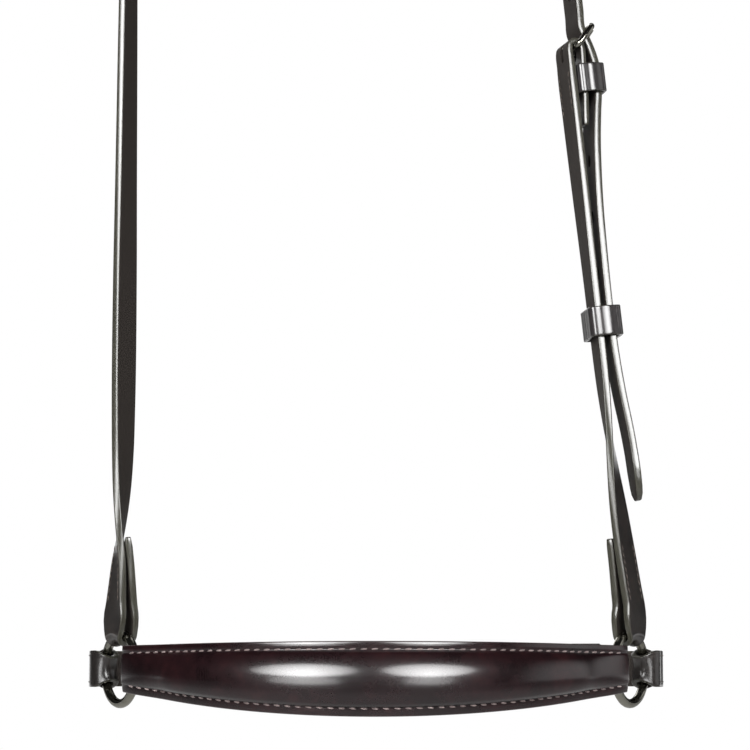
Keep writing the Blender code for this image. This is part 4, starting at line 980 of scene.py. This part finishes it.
def make_fibre_group():
    """Short matted fibres of felt, nap or spun thread."""
    group, given, result = new_group("fibres", ("Height", "Fleck"), Scale=900.0, Stretch=(1, 1, 1))
    pulled = node(group, "VectorMath", {0: given["Vector"], 1: given["Stretch"]},
                  operation="MULTIPLY")
    give(group, result, Height=noise(group, pulled.outputs[0], given["Scale"], 6.0, 0.7, 1.2),
         Fleck=spread(group, noise(group, given["Vector"], 210.0, 3.0), 0.4, 0.65))
    return group


# Materials.

def new_material(name, **sockets):
    """Material with constants on its shader, its nodes, the shader and the Object coordinates."""
    material = bpy.data.materials.new(name)
    material.use_nodes = True
    tree = material.node_tree
    shader = tree.nodes["Principled BSDF"]
    for label, value in sockets.items():
        shader.inputs[label.replace("_", " ")].default_value = value
    return material, tree, shader, node(tree, "TexCoord").outputs["Object"]


def grouped(tree, group, **inputs):
    """Place a node group in a material."""
    named = {key.replace("_", " "): value for key, value in inputs.items()}
    return node(tree, "Group", named, node_tree=group).outputs


def darker(colour, share):
    return (*[part * share for part in colour], 1)


def make_leather(name, groups, dark, body, warm, edge, flesh, rough, half_width=STRAP_WIDTH / 2,
                 cell=0.55 * MM, edge_width=0.5 * MM, crease_inset=1.4 * MM, crease_depth=0.5,
                 coat=0.35, edge_coat=1.0):
    """Dyed and polished leather with burnished edges, whose lighter colour is partly a painted
    highlight, and a duller flesh side.
    """
    material, tree, shader, place = new_material(
        name, Specular_IOR_Level=0.14, Coat_Roughness=0.14, Coat_IOR=1.55)
    flat = node(tree, "UVMap", uv_map="flat").outputs[0]
    tone = grouped(tree, groups["tone"], Vector=place, Dark=(*dark, 1), Body=(*body, 1),
                   Warm=(*warm, 1))
    grain = grouped(tree, groups["grain"], Vector=place, Cell_size=cell, Crease=0.35)
    rims = grouped(tree, groups["edge"], Vector=place, Flat_place=flat, Half_width=half_width,
                   Edge=edge_width, Crease_inset=crease_inset)
    back = node(tree, "Attribute", attribute_name="flesh", attribute_type="GEOMETRY")
    flesh_side = spread(tree, back.outputs["Fac"], 0.75, 0.98)
    on_rim, off_rim = rims["Edge"], less(tree, 1.0, rims["Edge"])

    colour = blended(tree, times(tree, grain["Pores"], 0.35), tone["Color"], (*dark, 1))
    colour = blended(tree, times(tree, rims["Crease"], 0.7), colour, (*dark, 1))
    colour = blended(tree, flesh_side, colour, (*flesh, 1))
    # The cut edges get a lighter colour than the face: partly their own burnished tone, partly a
    # painted highlight.
    edge_tone_and_highlight = blended(tree, tone["Cloud"], darker(edge, 0.6), (*edge, 1))
    colour = blended(tree, on_rim, colour, edge_tone_and_highlight)

    roughness = plus(tree, rough, times(tree, tone["Cloud"], 0.16))
    roughness = plus(tree, roughness, times(tree, flesh_side, 0.3), clamp=True)
    roughness = less(tree, roughness, times(tree, on_rim, 0.1))

    polish = times(tree, times(tree, less(tree, 1.0, flesh_side), coat), off_rim)
    polish = plus(tree, polish, times(tree, on_rim, edge_coat))

    nap = times(tree, times(tree, rims["Nap"], on_rim), 3.6)
    height = plus(tree, times(tree, grain["Height"], off_rim), nap)
    height = less(tree, height, times(tree, rims["Crease"], crease_depth))

    give(tree, shader, Base_Color=colour, Roughness=roughness, Coat_Weight=polish,
         Normal=bumped(tree, height, 0.35, 0.12 * MM))
    return material


def make_steel(name, groups, colour, film, polish, wear):
    """Polished steel with a thin film in its worn places."""
    material, tree, shader, place = new_material(name, Metallic=1.0)
    marks = grouped(tree, groups["wear"], Vector=place, Polish=polish, Wear=wear)
    filmed = blended(tree, times(tree, marks["Film"], 0.6), (*colour, 1), (*film, 1))
    give(tree, shader, Base_Color=filmed, Roughness=marks["Roughness"],
         Normal=bumped(tree, marks["Height"], 0.12, 0.04 * MM))
    return material


def make_fibrous(name, groups, colour, fleck, rough, scale, depth):
    """Felt or thread, with painted shade between its fibres."""
    material, tree, shader, place = new_material(name, Roughness=rough, Sheen_Weight=0.15)
    fibre = grouped(tree, groups["fibres"], Vector=place, Scale=scale, Stretch=(1, 1, 1))
    mixed = blended(tree, fibre["Fleck"], (*colour, 1), (*fleck, 1))
    # Colour darkened where the fibres sink: painted shade between them.
    painted_fibre_shade = spread(tree, fibre["Height"], 0.35, 0.6, 0.45, 0.0)
    give(tree, shader, Base_Color=blended(tree, painted_fibre_shade, mixed, darker(colour, 0.45)),
         Normal=bumped(tree, fibre["Height"], 0.5, depth))
    return material


# Stage, light and camera.

def studio_white(tree):
    """Light Path, and 1 for the eye and for what polished surfaces show of the studio."""
    rays = node(tree, "LightPath").outputs
    seen = number(tree, "MAXIMUM", rays["Is Camera Ray"], rays["Is Glossy Ray"])
    return rays, number(tree, "MAXIMUM", seen, rays["Is Transmission Ray"])


def set_world():
    """White behind the noseband, dim in front of it as a studio is behind its lamps, and an even
    soft light."""
    world = bpy.data.worlds.new("studio")
    bpy.context.scene.world = world
    world.use_nodes = True
    tree = world.node_tree
    tree.nodes.clear()
    rays, seen = studio_white(tree)
    ways = node(tree, "SeparateXYZ", {0: node(tree, "TexCoord").outputs["Generated"]}).outputs
    behind = spread(tree, ways[1], 0.9, 0.995, 0.02, 1.0)
    beside = times(tree, spread(tree, ways[0], 0.8, 0.97, 0.0, 0.9),
                   spread(tree, ways[1], 0.05, 0.5, 1.0, 0.1))
    shown = number(tree, "MAXIMUM", number(tree, "MAXIMUM", behind, beside), rays["Is Camera Ray"])
    soft = node(tree, "Background", {"Color": (1, 1, 1, 1), "Strength": 0.16})
    white = node(tree, "Background", {"Color": (1, 1, 1, 1), "Strength": shown})
    mix = node(tree, "MixShader", {0: seen, 1: soft.outputs[0], 2: white.outputs[0]})
    give(tree, node(tree, "OutputWorld"), Surface=mix.outputs[0])


def make_floor():
    """Pale floor that turns white behind the noseband and round it."""
    floor = added("floor", bpy.ops.mesh.primitive_plane_add, size=FLOOR_SIZE,
                  location=(0, 0, FLOOR_HEIGHT))
    settle(floor)
    material, tree, shader, place = new_material("pale floor", Roughness=0.85)
    mottled = blended(tree, noise(tree, place, 3.0), (0.76, 0.76, 0.755, 1), (0.79, 0.79, 0.785, 1))
    give(tree, shader, Base_Color=mottled)
    away = node(tree, "VectorMath", {0: place}, operation="LENGTH").outputs["Value"]
    back = node(tree, "SeparateXYZ", {0: place}).outputs[1]
    rays, seen = studio_white(tree)
    behind = times(tree, spread(tree, away, 0.9, 2.4), spread(tree, back, 0.4, 1.6))
    around = times(tree, spread(tree, away, 0.25, 1.3), rays["Is Camera Ray"])
    far = number(tree, "MAXIMUM", behind, around)
    glow = node(tree, "Emission", {"Color": (1, 1, 1, 1), "Strength": 1.0})
    mix = node(tree, "MixShader",
               {0: times(tree, far, seen), 1: shader.outputs[0], 2: glow.outputs[0]})
    give(tree, tree.nodes["Material Output"], Surface=mix.outputs[0])
    floor.data.materials.append(material)


def add_lamp(name, place, aim, size, watts, grid):
    """Soft box aimed at a place."""
    data = bpy.data.lights.new(name, "AREA")
    data.spread = math.radians(grid)
    data.shape = "ELLIPSE"
    data.size, data.size_y = size
    data.energy = watts
    lamp = bpy.data.objects.new(name, data)
    bpy.context.collection.objects.link(lamp)
    lamp.location = place
    lamp.rotation_euler = (Vector(aim) - Vector(place)).to_track_quat("-Z", "Y").to_euler()


def add_camera():
    data = bpy.data.cameras.new("camera")
    data.lens = CAMERA_LENS
    data.sensor_width = CAMERA_SENSOR
    data.clip_start = 0.01
    camera = bpy.data.objects.new("camera", data)
    bpy.context.collection.objects.link(camera)
    camera.location = NOSE + Vector((0, -CAMERA_DISTANCE, 0))
    camera.rotation_euler = (CAMERA_TILT, 0, 0)
    bpy.context.scene.camera = camera


# The noseband.

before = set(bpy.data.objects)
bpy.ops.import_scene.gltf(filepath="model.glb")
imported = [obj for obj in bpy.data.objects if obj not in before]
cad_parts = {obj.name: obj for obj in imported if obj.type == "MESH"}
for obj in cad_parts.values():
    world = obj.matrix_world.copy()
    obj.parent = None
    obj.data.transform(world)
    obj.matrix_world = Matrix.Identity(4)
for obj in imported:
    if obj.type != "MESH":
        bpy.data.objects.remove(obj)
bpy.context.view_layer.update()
add_camera()
bpy.context.scene.view_settings.view_transform = "Standard"

groups = {"grain": make_grain_group(), "tone": make_tone_group(), "edge": make_edge_group(),
          "wear": make_wear_group(), "fibres": make_fibre_group()}

# In the finishes below, edge is the cut edges' colour, kept lighter than the face: partly their own
# burnished tone, partly a painted highlight.
strap_finish = dict(
    dark=(0.013, 0.011, 0.0105), body=(0.028, 0.0245, 0.023), warm=(0.042, 0.032, 0.028),
    edge=(0.050, 0.048, 0.037), flesh=(0.030, 0.025, 0.022), rough=0.30, coat=0.8)
strap_leather = make_leather("dark havana strap", groups, **strap_finish)
chin_leather = make_leather("dark havana chin strap", groups, edge_coat=0.12, **strap_finish)
nose_leather = make_leather(
    "burgundy nosepiece", groups,
    dark=(0.005, 0.0016, 0.0022), body=(0.011, 0.0035, 0.0045), warm=(0.020, 0.006, 0.007),
    edge=(0.045, 0.03, 0.03), flesh=(0.06, 0.04, 0.032), rough=0.26, half_width=FLAT_HALF,
    crease_inset=1.2 * MM, coat=1.0)
chape_leather = make_leather(
    "dark chape", groups,
    dark=(0.010, 0.006, 0.006), body=(0.020, 0.012, 0.012), warm=(0.032, 0.018, 0.016),
    edge=(0.025, 0.02, 0.018), flesh=(0.035, 0.026, 0.022), rough=0.32,
    half_width=CHAPE_WIDTH / 2, crease_inset=1.0 * MM)
keeper_leather = make_leather(
    "keeper leather", groups,
    dark=(0.012, 0.011, 0.0115), body=(0.027, 0.0245, 0.0255), warm=(0.040, 0.034, 0.033),
    edge=(0.05, 0.047, 0.042), flesh=(0.035, 0.026, 0.022), rough=0.24, half_width=6.5 * MM,
    edge_width=0.4 * MM, crease_inset=1.3 * MM, coat=1.0, edge_coat=0.3)
lining_leather = make_leather(
    "soft lining", groups,
    dark=(0.035, 0.020, 0.014), body=(0.062, 0.036, 0.025), warm=(0.095, 0.058, 0.040),
    edge=(0.05, 0.034, 0.026), flesh=(0.075, 0.046, 0.033), rough=0.46, half_width=FLAT_HALF,
    cell=0.8 * MM, crease_depth=0.0, coat=0.0)
felt = make_fibrous("padding felt", groups, (0.30, 0.27, 0.22), (0.24, 0.20, 0.16),
                    rough=0.95, scale=700.0, depth=0.4 * MM)
nose_thread = make_fibrous("nosepiece thread", groups, (0.19, 0.145, 0.14), (0.28, 0.22, 0.21),
                           rough=0.65, scale=2600.0, depth=0.08 * MM)
strap_thread = make_fibrous("waxed strap thread", groups, (0.060, 0.044, 0.036),
                            (0.09, 0.066, 0.052), rough=0.5, scale=2600.0, depth=0.08 * MM)
# Both steel colours are kept darker than bare polished steel: painted shade standing for the dark
# studio that the rings reflect.
steel = make_steel("polished steel", groups, (0.31, 0.30, 0.26), (0.20, 0.19, 0.145), 0.09, 0.14)

# Straps. A seam is its first and last millimetre along the strap, and the side that it shows on.
straps = (
    ("head_strap", HEAD_STRAP_PATH, HEAD_HOLES, (), strap_leather, "headpiece",
     ((3, 28, GRAIN), (67, 92, GRAIN))),
    ("cheek_strap", CHEEK_STRAP_PATH, (), CHEEK_SLOTS, strap_leather, "headpiece",
     ((3, 28, GRAIN), (67, 92, GRAIN), (286, 307, FLESH))),
    ("chin_strap", CHIN_STRAP_PATH, CHIN_HOLES, (), chin_leather, "chin",
     ((2, 22, GRAIN), (41, 62, GRAIN))),
    ("chin_buckle_strap", CHIN_BUCKLE_STRAP_PATH, (), CHIN_SLOTS, chin_leather, "chin",
     ((2, 22, GRAIN), (41, 62, GRAIN), (115, 134, FLESH))),
)
for name, rows, holes, slots, leather, body, seams in straps:
    strap = make_strap(name + "_leather", Path(rows), holes, slots)
    finish_piece(strap, leather, body, [name])
for name, rows, holes, slots, leather, body, seams in straps:
    for i, (first, last, side) in enumerate(seams):
        seam = make_seam(name + "_seam_" + str(i + 1), Path(rows), first * MM, last * MM, side)
        finish_piece(seam, strap_thread, body)

# Nosepiece.
cover = finish_piece(make_nose_cover(), nose_leather, "nosepiece",
                     ["nose_cover"])
finish_piece(make_nose_lining(), lining_leather, "nosepiece", ["nose_lining"])
finish_piece(make_nose_padding(), felt, "nosepiece", ["nose_padding"])
for name, side in (("nose_top_thread", TOP), ("nose_bottom_thread", BOTTOM)):
    finish_piece(make_nose_thread(name, side), nose_thread, "nosepiece")
for name, rows in (("off_chape", OFF_CHAPE_PATH), ("near_chape", NEAR_CHAPE_PATH)):
    chape = make_chape(name + "_leather", rows)
    finish_piece(chape, chape_leather, "nosepiece", [name])

# Keepers and runners.
for name, body, place, out, across, *sizes in KEEPERS:
    keeper = make_keeper(name + "_leather", Vector(place) * MM, Vector(out), Vector(across),
                         *[size * MM for size in sizes])
    finish_piece(keeper, keeper_leather, body, [name])

# Steel.
for name, side in (("off_ring", OFF), ("near_ring", NEAR)):
    finish_piece(make_ring(name + "_steel", side), steel, name, [name])
for name, body, place, along, out in BUCKLES:
    along, out = Vector(along), Vector(out)
    matrix = placed(Vector(place) * MM, along.cross(out), along, out)
    finish_piece(make_buckle(name + "_buckle_steel", matrix), steel, body,
                 [name + "_buckle"])
    finish_piece(make_tongue(name + "_tongue_steel", matrix), steel,
                 name + "_tongue", [name + "_tongue"])

set_world()
make_floor()
for lamp in LAMPS:
    add_lamp(*lamp)
